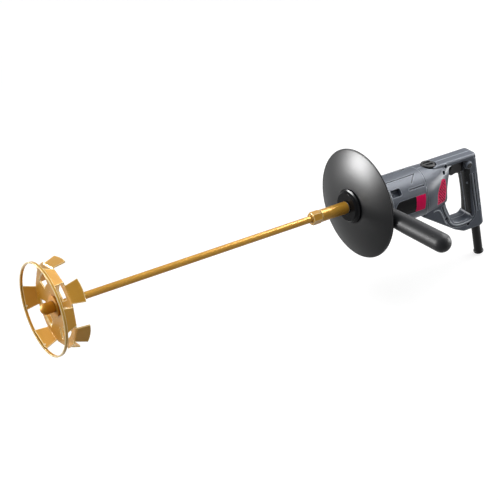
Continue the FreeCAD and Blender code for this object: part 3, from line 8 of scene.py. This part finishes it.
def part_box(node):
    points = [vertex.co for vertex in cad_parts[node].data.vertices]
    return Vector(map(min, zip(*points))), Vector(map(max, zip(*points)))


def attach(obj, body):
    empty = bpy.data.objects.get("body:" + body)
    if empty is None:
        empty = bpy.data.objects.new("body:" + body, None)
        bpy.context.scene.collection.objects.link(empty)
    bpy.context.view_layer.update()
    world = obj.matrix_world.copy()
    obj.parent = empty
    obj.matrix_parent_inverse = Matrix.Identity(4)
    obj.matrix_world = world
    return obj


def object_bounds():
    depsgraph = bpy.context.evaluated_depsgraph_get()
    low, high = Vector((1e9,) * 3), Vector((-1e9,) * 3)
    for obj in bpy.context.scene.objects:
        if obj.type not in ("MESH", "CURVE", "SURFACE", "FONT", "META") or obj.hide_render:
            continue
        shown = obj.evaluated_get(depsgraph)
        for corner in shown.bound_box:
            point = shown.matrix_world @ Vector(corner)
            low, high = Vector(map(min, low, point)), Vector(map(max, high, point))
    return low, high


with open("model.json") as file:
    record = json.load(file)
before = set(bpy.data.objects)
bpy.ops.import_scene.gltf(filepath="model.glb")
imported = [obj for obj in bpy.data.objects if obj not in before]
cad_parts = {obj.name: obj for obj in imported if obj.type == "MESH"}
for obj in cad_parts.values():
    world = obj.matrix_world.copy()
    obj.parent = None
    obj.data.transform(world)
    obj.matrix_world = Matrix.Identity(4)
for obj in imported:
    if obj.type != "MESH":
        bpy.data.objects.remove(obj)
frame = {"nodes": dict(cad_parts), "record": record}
cad_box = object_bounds()
nodes = frame["nodes"]

MM = 0.001
WHITE = (1, 1, 1, 1)

# Camera: its place and aim in the part's own frame (metres and degrees), and its lens
EYE = Vector((-1.4519, -1.4443, 1.0291))
EYE_TURN = -34.548
EYE_RAISE = 29.862
LENS_MM = 94.52
SENSOR_MM = 36.0
FARTHEST = 100

# Floor: its light on the tool, and how it is shown, with a glow that grows to white far out (metres)
FLOOR_SIZE = 30
FLOOR_GAP = 2 * MM
FLOOR_BOUNCE = "#545454"
FLOOR_PAPER = "#A8A8A8"
FLOOR_ROUGH = 0.9
FLOOR_GLOW = 0.78
FLOOR_NEAR = 1.2
FLOOR_FAR = 2.6

# The sky's share of the light
SKY_LIGHT = 0.14

# Lamps that light the tool: place, target and size in metres, and power in watts
LAMPS = {
    "overhead": ((-0.90, 0.05, 1.70), (-0.45, 0.00, 0.00), 1.40, 14),
    "back_right": ((0.95, 0.10, 1.10), (-0.15, 0.00, 0.03), 1.50, 15),
    "rim_right": ((1.10, -0.55, 0.35), (-0.05, 0.00, 0.00), 0.50, 4),
    "front": ((-2.20, 0.40, 0.80), (-0.80, 0.00, 0.05), 0.80, 9),
}

# Lamps that only gleam on gloss
GLEAM_TARGET = (-0.20, 0.00, 0.05)
GLEAMS = {
    "guard_gleam": ((-1.50, 1.00, 0.06), GLEAM_TARGET, 0.65, 160),
    "shoulder_gleam": ((0.80, 0.05, 1.25), GLEAM_TARGET, 1.00, 60),
    "gold_gleam": ((0.55, 0.72, 1.05), GLEAM_TARGET, 0.80, 5),
    "rim_gleam": ((1.10, -0.55, 0.32), GLEAM_TARGET, 0.50, 38),
}

# Roughness varies by this much either way with the grain
ROUGH_SPREAD = 0.06

# Painted shade: recesses up to about this reach are painted darker, from shut in to open
PAINTED_SHADE_REACH = 4.0 * MM
PAINTED_SHADE_SHUT = 0.25
PAINTED_SHADE_OPEN = 0.8

# Painted highlight: edges turn pale where less than this share of the nearby space is solid, fully so at the
# second
PAINTED_HIGHLIGHT_START = 0.97
PAINTED_HIGHLIGHT_FULL = 0.8

# Rays taken for the painted shade of recesses and the painted highlight of edges, and for the broken edges
SHADE_RAYS = 8
EDGE_RAYS = 6

# Painted shade: the dark colour painted into the recesses of each finish
GOLD_PAINTED_SHADE = "#2E1A04"
MOULD_PAINTED_SHADE = "#141518"
CRIMSON_PAINTED_SHADE = "#3A0012"

# Slate moulding of the body
SLATE = {
    "colours": ("#4E545E", "#575D68"),
    "grain_mm": 1.3,
    "rough": 0.4,
    "shine": 0.12,
    "edge_mm": 1.2,
    # Pale painted highlight on the edges, and its reach in millimetres
    "painted_highlight": ("#8A909A", 1.8),
}

# Darker, duller front of the grip: its rear edge leans with the grip, and the ribs run behind it
GRIP_DARK_COLOUR = "#161617"
GRIP_DARK_ROUGH = 0.6
GRIP_DARK_LEAN = 0.18
GRIP_DARK_EDGE = -9.4 * MM
GRIP_DARK_FRONT = -48.0 * MM
GRIP_DARK_LOW = -47.0 * MM
GRIP_DARK_HIGH = 62.0 * MM
MASK_FADE = 0.3 * MM

# Ribs behind the darker front: they round the land between the three grooves of the solid, along the grip's
# own lean, and their grooves take a painted shade
RIB_LEAN = 0.2567
RIB_PITCH = 6.0 * MM
RIB_FRONT = -7.4 * MM
RIB_REAR = 8.0 * MM
RIB_LOW = -42.0 * MM
RIB_HIGH = 33.0 * MM
RIB_HEIGHT_MM = 0.4
# How far the painted shade in the rib grooves goes towards the dark colour
RIB_SHADE = 0.8

# Ridges beside the hand opening, on each side of the groove round it: X and Z in millimetres
RIDGES = {
    "rim_ridge": (
        (-71, -9.5), (-69.5, -14), (-67.5, -19), (-64.5, -25), (-61, -31), (-57, -37), (-54.5, -42),
        (-51.5, -47.5), (-47.5, -52), (-42, -55.8), (-36, -58), (-29, -59), (-20, -59.3),
        (-11, -58.9), (-3, -56.9)),
    "chin_ridge": (
        (-93, -15.9), (-88, -14.9), (-83, -15.2), (-79, -17.5), (-75.5, -22), (-72, -28),
        (-68.6, -34), (-66.4, -39), (-63.5, -44), (-60, -48.5)),
}
RIDGE_SEAT = 15.3 * MM
RIDGE_RADIUS = 1.0 * MM
RIDGE_ROUNDING = 2
RIDGE_MERGE = 0.01 * MM

# Small round bosses: sides, the face that is dished, the inset and share of each step, and the edge
BOSS_SIDES = 32
BOSS_FACE = 0.9
BOSS_INSET = 0.3
BOSS_STEPS = (0.6, 0.4)
BOSS_EDGE = 0.35
BOSS_EDGE_STEPS = 2
SMOOTH_ANGLE = math.radians(40)

# Weld spots that hold the ring on its tabs
SPINDLE_Z = 40.5 * MM
TAB_LEAN = 13.3
TAB_INSIDE = 63.2 * MM
TAB_TURNS = (18, 78, 198, 258)
WELD_RADIUS = 1.7 * MM
WELD_HEIGHT = 0.5 * MM
WELD_DISH = 0.3 * MM
WELD_BACK = 1 * MM
WELD_OFFSET = 12.0 * MM

# Pad in the face of the lock button
PAD_RADIUS = 5.0 * MM
PAD_HEIGHT = 0.3 * MM
PAD_DISH = 0.2 * MM

# Gate mark left by the mould on the side handle, and the way its surface faces
GATE_PLACE = Vector((-233.0, -164.5, 51.8)) * MM
GATE_FACES = Vector((-0.72, -0.06, 0.70))
GATE_RADIUS = 1.3 * MM
GATE_HEIGHT = 0.35 * MM
GATE_DISH = 0.3 * MM


def srgb(code):
    """Linear colour of an sRGB hex value."""
    levels = [int(code[i:i + 2], 16) / 255 for i in (1, 3, 5)]
    return [c / 12.92 if c <= 0.04045 else ((c + 0.055) / 1.055) ** 2.4 for c in levels] + [1.0]


def per(mm):
    """Texture scale whose features are this many millimetres apart on Object coordinates."""
    return 1 / (mm * MM)


def add(tree, kind, inputs=None, **settings):
    """Add one shader node; inputs takes values or the output sockets to link."""
    node = tree.nodes.new("ShaderNode" + kind)
    for name, value in settings.items():
        setattr(node, name, value)
    for name, value in (inputs or {}).items():
        if isinstance(value, bpy.types.NodeSocket):
            tree.links.new(value, node.inputs[name])
        else:
            node.inputs[name].default_value = value
    return node


def within(tree, *limits):
    """A mask that is one where every value has passed from the first number of its limit to the second."""
    mask = None
    for value, outside, inside in limits:
        passed = add(tree, "MapRange", {"Value": value, "From Min": outside, "From Max": inside}).outputs[0]
        mask = add(tree, "Math", {0: mask, 1: passed}, operation="MULTIPLY").outputs[0] if mask else passed
    return mask


def surface(name, **sockets):
    """A new material: its node tree, its shader and its Object coordinates."""
    material = bpy.data.materials.new(name)
    material.use_nodes = True
    tree = material.node_tree
    shader = tree.nodes["Principled BSDF"]
    for socket, value in sockets.items():
        shader.inputs[socket.replace("_", " ")].default_value = value
    place = add(tree, "TexCoord").outputs["Object"]
    return material, tree, shader, place


def finish(tree, shader, tone, colours, grain, rough, depth_mm, strength,
           edge_mm=0.3, painted_shade=None, painted_highlight=None, darkening=None, under=None):
    """Wire a finish: the colour drifts with the tone, and roughness and relief follow the grain.

    Edges are broken by a small radius. Recesses take a painted shade colour, and edges a pale
    painted highlight colour over its reach in millimetres. A darkening is a mask with its colour
    and roughness, and under is a coarser relief below the grain with its height in millimetres.
    """
    colour = add(tree, "Mix", {0: tone, 6: srgb(colours[0]), 7: srgb(colours[1])},
                 data_type="RGBA").outputs[2]
    dull = add(tree, "MapRange", {"Value": grain, "To Min": rough - ROUGH_SPREAD,
                                  "To Max": rough + ROUGH_SPREAD}).outputs[0]
    # A darker mask with its own colour and roughness: on the shells, the front of the grip and the painted
    # shade of the rib grooves
    if darkening:
        mask, dark_colour, dark_rough = darkening
        colour = add(tree, "Mix", {0: mask, 6: colour, 7: srgb(dark_colour)},
                     data_type="RGBA").outputs[2]
        dull = add(tree, "MapRange", {"Value": mask, "To Min": dull, "To Max": dark_rough}).outputs[0]
    # Painted highlight: the colour turns pale on edges, where the space just inside the solid is open
    if painted_highlight:
        highlight_colour, reach_mm = painted_highlight
        solid = add(tree, "AmbientOcclusion", {"Distance": reach_mm * MM},
                    samples=SHADE_RAYS, inside=True).outputs["AO"]
        edge = add(tree, "MapRange", {"Value": solid, "From Min": PAINTED_HIGHLIGHT_START,
                                      "From Max": PAINTED_HIGHLIGHT_FULL}).outputs[0]
        colour = add(tree, "Mix", {0: edge, 6: colour, 7: srgb(highlight_colour)},
                     data_type="RGBA").outputs[2]
    # Painted shade: the colour turns dark where the nearby space is shut in
    if painted_shade:
        air = add(tree, "AmbientOcclusion", {"Distance": PAINTED_SHADE_REACH}, samples=SHADE_RAYS).outputs["AO"]
        clear = add(tree, "MapRange", {"Value": air, "From Min": PAINTED_SHADE_SHUT,
                                       "From Max": PAINTED_SHADE_OPEN}).outputs[0]
        colour = add(tree, "Mix", {0: clear, 6: srgb(painted_shade), 7: colour}, data_type="RGBA").outputs[2]
    broken = add(tree, "Bevel", {"Radius": edge_mm * MM}, samples=EDGE_RAYS).outputs[0]
    if under:
        relief, height_mm = under
        broken = add(tree, "Bump", {"Height": relief, "Distance": height_mm * MM,
                                    "Normal": broken}).outputs[0]
    bump = add(tree, "Bump", {"Height": grain, "Strength": strength, "Distance": depth_mm * MM,
                              "Normal": broken}).outputs[0]
    tree.links.new(colour, shader.inputs["Base Color"])
    tree.links.new(dull, shader.inputs["Roughness"])
    tree.links.new(bump, shader.inputs["Normal"])


def gold_zinc(name, colours, painted_highlight=None, rough=0.25, shine=0.2):
    """Zinc-plated steel, yellow passivated: a warm satin metal from straw to amber, with painted shade in
    its recesses and, where given, a pale painted highlight on its folds.
    """
    material, tree, shader, place = surface(name, Metallic=0.12, Specular_IOR_Level=shine)
    drift = add(tree, "TexNoise", {"Vector": place, "Scale": per(40), "Detail": 3}).outputs[0]
    rolled = add(tree, "TexNoise", {"Vector": place, "Scale": per(2.5), "Detail": 4}).outputs[0]
    finish(tree, shader, drift, colours, rolled, rough, depth_mm=0.05, strength=0.25,
           edge_mm=0.5, painted_shade=GOLD_PAINTED_SHADE, painted_highlight=painted_highlight)
    return material


def moulded(name, colours, grain_mm, rough, strength=0.3, shine=0.15, edge_mm=0.5, painted_highlight=None, dress=None):
    """Moulded plastic with a spark-eroded grain, drawn coarser than life so that it shows.

    dress may give a darker mask over it, with its colour and roughness, and a relief below its grain.
    """
    material, tree, shader, place = surface(name, Specular_IOR_Level=shine)
    cloud = add(tree, "TexNoise", {"Vector": place, "Scale": per(30), "Detail": 2}).outputs[0]
    grain = add(tree, "TexNoise", {"Vector": place, "Scale": per(grain_mm), "Detail": 2}).outputs[0]
    darkening, under = dress(tree, place) if dress else (None, None)
    # Recesses take a painted shade, and a given pale edge colour is a painted highlight
    finish(tree, shader, cloud, colours, grain, rough, depth_mm=0.06, strength=strength,
           edge_mm=edge_mm, painted_shade=MOULD_PAINTED_SHADE, painted_highlight=painted_highlight, darkening=darkening, under=under)
    return material


def dark_grip_front(tree, place):
    """A darker, duller front of the grip, and behind it ribs with painted shade in the grooves between them.
    """
    at = add(tree, "SeparateXYZ", {0: place}).outputs
    lean = add(tree, "Math", {0: at["Z"], 1: GRIP_DARK_LEAN, 2: at["X"]}, operation="MULTIPLY_ADD").outputs[0]
    # A darker, duller mask over the front of the grip
    darkening = within(tree, (lean, GRIP_DARK_EDGE + MASK_FADE, GRIP_DARK_EDGE),
                  (at["X"], GRIP_DARK_FRONT, GRIP_DARK_FRONT + MASK_FADE),
                  (at["Z"], GRIP_DARK_LOW, GRIP_DARK_LOW + MASK_FADE),
                  (at["Z"], GRIP_DARK_HIGH, GRIP_DARK_HIGH - MASK_FADE))
    across = add(tree, "Math", {0: at["Z"], 1: RIB_LEAN, 2: at["X"]}, operation="MULTIPLY_ADD").outputs[0]
    turns = add(tree, "Math", {0: across, 1: 2 * math.pi / RIB_PITCH, 2: -math.pi / 2},
                operation="MULTIPLY_ADD").outputs[0]
    wave = add(tree, "Math", {0: turns}, operation="SINE").outputs[0]
    ribbed = within(tree, (across, RIB_FRONT, RIB_FRONT + MASK_FADE),
                    (across, RIB_REAR, RIB_REAR - MASK_FADE),
                    (at["Z"], RIB_LOW, RIB_LOW + MASK_FADE),
                    (at["Z"], RIB_HIGH, RIB_HIGH - MASK_FADE))
    ribs = add(tree, "Math", {0: wave, 1: ribbed}, operation="MULTIPLY").outputs[0]
    # Painted shade: the grooves between the ribs are painted darker
    painted_groove_shade = add(tree, "MapRange", {"Value": ribs, "From Min": 0.0, "From Max": -1.0,
                                     "To Max": RIB_SHADE}).outputs[0]
    dark = add(tree, "Math", {0: darkening, 1: painted_groove_shade}, operation="MAXIMUM").outputs[0]
    return (dark, GRIP_DARK_COLOUR, GRIP_DARK_ROUGH), (ribs, RIB_HEIGHT_MM)


def lacquered(name, colours, rough, shine=0.1, painted_shade=None):
    """Gloss moulding or printed film: a smooth clear skin with the faintest ripple."""
    material, tree, shader, place = surface(name, Specular_IOR_Level=shine)
    ripple = add(tree, "TexNoise", {"Vector": place, "Scale": per(12), "Detail": 2}).outputs[0]
    # A given recess colour is a painted shade there
    finish(tree, shader, ripple, colours, ripple, rough, depth_mm=0.03, strength=0.08,
           edge_mm=0.4, painted_shade=painted_shade)
    return material


def rubber(name, colours, rough, shine=0.12):
    """Moulded rubber: dull, a little dusty, with a fine pebbled skin."""
    material, tree, shader, place = surface(name, Specular_IOR_Level=shine)
    dust = add(tree, "TexNoise", {"Vector": place, "Scale": per(18), "Detail": 4}).outputs[0]
    pebble = add(tree, "TexVoronoi", {"Vector": place, "Scale": per(1.4)}).outputs[0]
    finish(tree, shader, dust, colours, pebble, rough, depth_mm=0.08, strength=0.25)
    return material


def turned_steel(name, colours, rough):
    """Ground or turned steel: bright, with fine rings left by the tool."""
    material, tree, shader, place = surface(name, Metallic=1.0)
    rings = add(tree, "TexWave", {"Vector": place, "Scale": per(9), "Distortion": 0.4},
                bands_direction="X").outputs[0]
    smear = add(tree, "TexNoise", {"Vector": place, "Scale": per(6), "Detail": 3}).outputs[0]
    finish(tree, shader, smear, colours, rings, rough, depth_mm=0.02, strength=0.15)
    return material


def cast_alloy():
    """Die-cast aluminium, stove enamelled: a dull charcoal paint over the sandy skin of the casting."""
    material, tree, shader, place = surface("enamelled_die_cast_aluminium", Specular_IOR_Level=0.15)
    sand = add(tree, "TexNoise", {"Vector": place, "Scale": per(1.2), "Detail": 3}).outputs[0]
    finish(tree, shader, sand, ("#26282B", "#303336"), sand, rough=0.52, depth_mm=0.1, strength=0.3)
    return material


def sheet_stack():
    """Stacked electrical steel: blued sheets half a millimetre thick, seen edge on."""
    material, tree, shader, place = surface("laminated_steel", Metallic=0.8)
    stack = add(tree, "TexWave", {"Vector": place, "Scale": per(6.3)}, bands_direction="X").outputs[0]
    finish(tree, shader, stack, ("#3F434A", "#6A6E75"), stack, rough=0.5, depth_mm=0.05, strength=0.4)
    return material


def wound_copper():
    """Enamelled copper: reddish wire under a clear coat, laid side by side."""
    material, tree, shader, place = surface("enamelled_copper", Metallic=0.9, Coat_Weight=0.5)
    strands = add(tree, "TexWave", {"Vector": place, "Scale": per(7.5), "Distortion": 1.5},
                  bands_direction="DIAGONAL").outputs[0]
    finish(tree, shader, strands, ("#8A4A2A", "#C77A4C"), strands, rough=0.35, depth_mm=0.15, strength=0.5)
    return material


def sintered_bronze():
    """Oil-filled sintered bronze: a dull brown metal full of pores."""
    material, tree, shader, place = surface("sintered_bronze", Metallic=0.85)
    pores = add(tree, "TexVoronoi", {"Vector": place, "Scale": per(0.9)}).outputs[0]
    finish(tree, shader, pores, ("#7D5A2C", "#A97F45"), pores, rough=0.46, depth_mm=0.05, strength=0.3)
    return material


def pressed_carbon():
    """Pressed carbon: nearly black, sooty, with a faint sparkle."""
    material, tree, shader, place = surface("pressed_carbon", Specular_IOR_Level=0.3)
    soot = add(tree, "TexNoise", {"Vector": place, "Scale": per(0.8), "Detail": 4}).outputs[0]
    finish(tree, shader, soot, ("#121213", "#2A2A2C"), soot, rough=0.68, depth_mm=0.05, strength=0.3)
    return material


def finishes():
    """The finish of each material slot of the record, and of the welds and the ridges."""
    return {
        # Pale painted highlight on the folds and edges of the gold sheet
        "gold_steel": gold_zinc("gold_passivated_zinc", ("#C48824", "#E2AC44"), painted_highlight=("#F8DC98", 1.4)),
        # Welds near white: a painted glint on each spot
        "weld_zinc": gold_zinc("zinc_painted_glint", ("#FFE9B0", "#FFF4D0")),
        "steel": turned_steel("ground_steel", ("#8C8E91", "#A9ABAE"), rough=0.32),
        "gear_steel": turned_steel("hardened_steel", ("#67696D", "#84868A"), rough=0.38),
        "stud_steel": turned_steel("bright_steel", ("#808285", "#9B9DA0"), rough=0.34),
        "guard_black": moulded("satin_black_polyamide", ("#17181A", "#1E1F21"), grain_mm=1.6, rough=0.36,
                               strength=0.12, shine=0.11),
        "collar_black": lacquered("gloss_black_acetal", ("#121315", "#18191C"), rough=0.2, shine=0.05),
        "case_alloy": cast_alloy(),
        "seal_rubber": rubber("nitrile_rubber", ("#161617", "#1E1E20"), rough=0.55),
        "bush_bronze": sintered_bronze(),
        "lamination": sheet_stack(),
        "copper": wound_copper(),
        "carbon": pressed_carbon(),
        "fan_plastic": moulded("black_polyamide", ("#1E1F20", "#28292B"), grain_mm=1.2, rough=0.5),
        "body_slate": moulded("slate_glass_filled_polyamide", **SLATE),
        # Ridges near white: a painted highlight along the edges of the hand opening
        "ridge_slate": moulded("slate_polyamide_painted_highlight", ("#C4CAD2", "#D2D7DE"), grain_mm=1.3, rough=0.4),
        "label_black": lacquered("black_printed_film", ("#0A0A0B", "#0F0F10"), rough=0.25, shine=0.06),
        # Crimson with painted shade in its recesses and in the holes of the vent
        "crimson": lacquered("crimson_abs", ("#F8045A", "#FF0E64"), rough=0.3, shine=0.05,
                             painted_shade=CRIMSON_PAINTED_SHADE),
        "black_plastic": moulded("black_abs", ("#121213", "#19191B"), grain_mm=1.2, rough=0.4),
        "boot_rubber": rubber("black_pvc", ("#0D0D0E", "#151517"), rough=0.42),
        "grip_rubber": rubber("charcoal_rubber", ("#1B1C1E", "#242528"), rough=0.48, shine=0.14),
        "band_plastic": moulded("charcoal_polyamide", ("#2A2B2D", "#343538"), grain_mm=1.2, rough=0.45),
    }


def dress_nodes(looks):
    """Give every node the finish of its slot, apart from the nodes with a finish of their own.

    The handle shells are darker and duller on the front of the grip, with painted shade in the grooves of
    the ribs, the case screws are blackened and the cap nut is duller.
    """
    shell = moulded("slate_shell_with_dark_grip_front", **SLATE, dress=dark_grip_front)
    own = {
        "handle_shell_left": shell,
        "handle_shell_right": shell,
        "gear_case_screws": turned_steel("black_oxide_steel", ("#1A1B1D", "#26272A"), rough=0.45),
        "stirrer_cap_nut": gold_zinc("gold_passivated_nut", ("#A87018", "#C08A2C"), rough=0.55, shine=0.05),
    }
    for part in frame["record"]["subparts"]:
        slots = nodes[part["node"]].data.materials
        slots.clear()
        slots.append(own.get(part["node"]) or looks[part["material_slot"]])


def dished_disc(name, radius, height, dish):
    """A low round boss with a broken edge and a dished face, standing on the ground plane."""
    bpy.ops.object.select_all(action="DESELECT")
    bpy.ops.mesh.primitive_cylinder_add(vertices=BOSS_SIDES, radius=radius, depth=height,
                                        location=(0, 0, height / 2))
    bpy.ops.object.transform_apply()
    disc = bpy.context.object
    disc.name = name
    bpy.ops.object.mode_set(mode="EDIT")
    bpy.ops.mesh.select_mode(type="FACE")
    bpy.ops.mesh.select_all(action="DESELECT")
    bpy.ops.object.mode_set(mode="OBJECT")
    for face in disc.data.polygons:
        face.select = face.normal.z > BOSS_FACE
    bpy.ops.object.mode_set(mode="EDIT")
    for share in BOSS_STEPS:
        bpy.ops.mesh.inset(thickness=radius * BOSS_INSET)
        bpy.ops.transform.translate(value=(0, 0, -dish * share))
    bpy.ops.object.mode_set(mode="OBJECT")
    edge = disc.modifiers.new("edge", "BEVEL")
    edge.width = height * BOSS_EDGE
    edge.segments = BOSS_EDGE_STEPS
    bpy.ops.object.modifier_apply(modifier=edge.name)
    bpy.ops.object.shade_smooth_by_angle(angle=SMOOTH_ANGLE)
    return disc


def fit(piece, matrix, look, body):
    """Put a piece in its place, in its mesh, with its finish and the body that carries it."""
    piece.data.transform(matrix)
    piece.data.materials.append(look)
    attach(piece, body)


def weld_spots(look):
    """One resistance weld near the edge of each tab, on the inside, where the ring is held."""
    low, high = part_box("stirrer_ring")
    weld_x = (low.x + high.x) / 2 + WELD_BACK
    pattern = dished_disc("weld_spot_1", WELD_RADIUS, WELD_HEIGHT, WELD_DISH)
    spots = [pattern]
    for number in range(2, len(TAB_TURNS) + 1):
        copy = bpy.data.objects.new(f"weld_spot_{number}", pattern.data.copy())
        bpy.context.scene.collection.objects.link(copy)
        spots.append(copy)
    axis = Matrix.Translation((0, 0, SPINDLE_Z))
    inward = Matrix.Rotation(math.radians(TAB_LEAN), 4, "Y") @ Matrix.Rotation(math.pi, 4, "X")
    seat = Matrix.Translation((weld_x, WELD_OFFSET, TAB_INSIDE))
    for spot, turn in zip(spots, TAB_TURNS):
        around = Matrix.Rotation(math.radians(turn), 4, "X")
        fit(spot, axis @ around @ seat @ inward, look, "spindle")


def button_pad(look):
    """The dark pad set in the face of the lock button."""
    low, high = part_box("lock_button")
    middle = Matrix.Translation(((low.x + high.x) / 2, low.y, (low.z + high.z) / 2))
    pad = dished_disc("lock_button_pad", PAD_RADIUS, PAD_HEIGHT, PAD_DISH)
    fit(pad, middle @ Matrix.Rotation(math.pi / 2, 4, "X"), look, "lock_button")


def gate_mark(look):
    """The small round mark on the side handle where the mould was filled."""
    facing = GATE_FACES.to_track_quat("Z", "Y").to_matrix().to_4x4()
    mark = dished_disc("side_handle_gate_mark", GATE_RADIUS, GATE_HEIGHT, GATE_DISH)
    fit(mark, Matrix.Translation(GATE_PLACE) @ facing, look, "side_handle")


def ridge(name, path, side, look):
    """A moulded ridge on the handle's side: a line drawn point by point and given a round section."""
    start_x, start_z = path[0]
    bpy.ops.object.select_all(action="DESELECT")
    bpy.ops.mesh.primitive_plane_add(size=MM, location=(start_x * MM, side * RIDGE_SEAT, start_z * MM))
    bpy.ops.object.transform_apply()
    line = bpy.context.object
    line.name = name
    bpy.ops.object.mode_set(mode="EDIT")
    bpy.ops.mesh.select_mode(type="VERT")
    bpy.ops.mesh.select_all(action="SELECT")
    bpy.ops.mesh.merge(type="CENTER")
    for (from_x, from_z), (to_x, to_z) in zip(path, path[1:]):
        move = ((to_x - from_x) * MM, 0, (to_z - from_z) * MM)
        bpy.ops.mesh.extrude_region_move(TRANSFORM_OT_translate={"value": move})
    bpy.ops.object.mode_set(mode="OBJECT")
    bpy.ops.object.convert(target="CURVE")
    line = bpy.context.object
    line.data.bevel_depth = RIDGE_RADIUS
    line.data.bevel_resolution = RIDGE_ROUNDING
    line.data.use_fill_caps = True
    bpy.ops.object.convert(target="MESH")
    line = bpy.context.object
    bpy.ops.object.mode_set(mode="EDIT")
    bpy.ops.mesh.select_all(action="SELECT")
    bpy.ops.mesh.remove_doubles(threshold=RIDGE_MERGE)
    bpy.ops.mesh.normals_make_consistent(inside=False)
    bpy.ops.object.mode_set(mode="OBJECT")
    bpy.ops.object.shade_smooth_by_angle(angle=SMOOTH_ANGLE)
    line.data.materials.clear()
    fit(line, Matrix.Identity(4), look, "tool")


def handle_ridges(look):
    """The two ridges beside the hand opening, on each side of the handle."""
    for name, path in RIDGES.items():
        ridge(name + "_left", path, -1, look)
        ridge(name + "_right", path, 1, look)


def photo_camera():
    """The camera, turned about the upright and raised to the photograph's angle."""
    turn = math.radians(EYE_TURN)
    lift = math.radians(EYE_RAISE)
    right = Vector((math.cos(turn), math.sin(turn), 0))
    back = Vector((math.sin(turn) * math.cos(lift), -math.cos(turn) * math.cos(lift), math.sin(lift)))
    up = back.cross(right)
    camera = bpy.data.objects.new("photo_camera", bpy.data.cameras.new("photo_camera"))
    camera.data.lens = LENS_MM
    camera.data.sensor_width = SENSOR_MM
    camera.data.clip_end = FARTHEST
    camera.matrix_world = Matrix.Translation(EYE) @ Matrix((right, up, back)).transposed().to_4x4()
    bpy.context.scene.collection.objects.link(camera)
    bpy.context.scene.camera = camera


def seen_white(tree, shade, shown):
    """One shader to the camera, to reflections and through glass; the given shade to other light."""
    path = add(tree, "LightPath").outputs
    direct = add(tree, "Math", {0: path["Is Camera Ray"], 1: path["Is Glossy Ray"]},
                 operation="MAXIMUM").outputs[0]
    direct = add(tree, "Math", {0: direct, 1: path["Is Transmission Ray"]},
                 operation="MAXIMUM").outputs[0]
    return add(tree, "MixShader", {0: direct, 1: shade, 2: shown}).outputs[0]


def white_floor():
    """A pale floor that is seen as white and still takes the soft shadow of the tool."""
    bpy.ops.object.select_all(action="DESELECT")
    bpy.ops.mesh.primitive_plane_add(size=FLOOR_SIZE, location=(0, 0, cad_box[0].z - FLOOR_GAP))
    floor = bpy.context.object
    floor.name = "floor"
    material, tree, shader, place = surface("white_sweep", Roughness=FLOOR_ROUGH,
                                            Base_Color=srgb(FLOOR_BOUNCE))
    away = add(tree, "VectorMath", {0: place}, operation="LENGTH").outputs["Value"]
    bright = add(tree, "MapRange", {"Value": away, "From Min": FLOOR_NEAR, "From Max": FLOOR_FAR,
                                    "To Min": FLOOR_GLOW, "To Max": 1.0}).outputs[0]
    glow = add(tree, "Emission", {"Color": WHITE, "Strength": bright}).outputs[0]
    paper = add(tree, "BsdfDiffuse", {"Color": srgb(FLOOR_PAPER)}).outputs[0]
    shown = add(tree, "AddShader", {0: glow, 1: paper}).outputs[0]
    tree.links.new(seen_white(tree, shader.outputs[0], shown),
                   tree.nodes["Material Output"].inputs["Surface"])
    floor.data.materials.append(material)


def white_world():
    """White all round to the eye, and a weak even light for the object."""
    world = bpy.data.worlds.new("studio")
    bpy.context.scene.world = world
    world.use_nodes = True
    tree = world.node_tree
    sky = tree.nodes["Background"]
    sky.inputs["Color"].default_value = WHITE
    sky.inputs["Strength"].default_value = SKY_LIGHT
    white = add(tree, "Background", {"Color": WHITE, "Strength": 1.0}).outputs[0]
    tree.links.new(seen_white(tree, sky.outputs[0], white),
                   tree.nodes["World Output"].inputs["Surface"])


def softbox(name, place, target, size, power):
    """A round soft lamp that faces its target and isn't seen itself."""
    lamp = bpy.data.lights.new(name, "AREA")
    lamp.shape = "DISK"
    lamp.size = size
    lamp.energy = power
    holder = bpy.data.objects.new(name, lamp)
    holder.location = place
    holder.rotation_euler = (Vector(target) - Vector(place)).to_track_quat("-Z", "Y").to_euler()
    holder.visible_camera = False
    bpy.context.scene.collection.objects.link(holder)
    return holder


def studio():
    """The floor, the white surroundings, the soft lamps, and the lamps that only gleam."""
    white_floor()
    white_world()
    for name, setting in LAMPS.items():
        softbox(name, *setting)
    for name, setting in GLEAMS.items():
        softbox(name, *setting).visible_diffuse = False


bpy.context.scene.view_settings.view_transform = "Standard"
looks = finishes()
dress_nodes(looks)
weld_spots(looks["weld_zinc"])
button_pad(looks["black_plastic"])
gate_mark(looks["seal_rubber"])
handle_ridges(looks["ridge_slate"])
photo_camera()
studio()
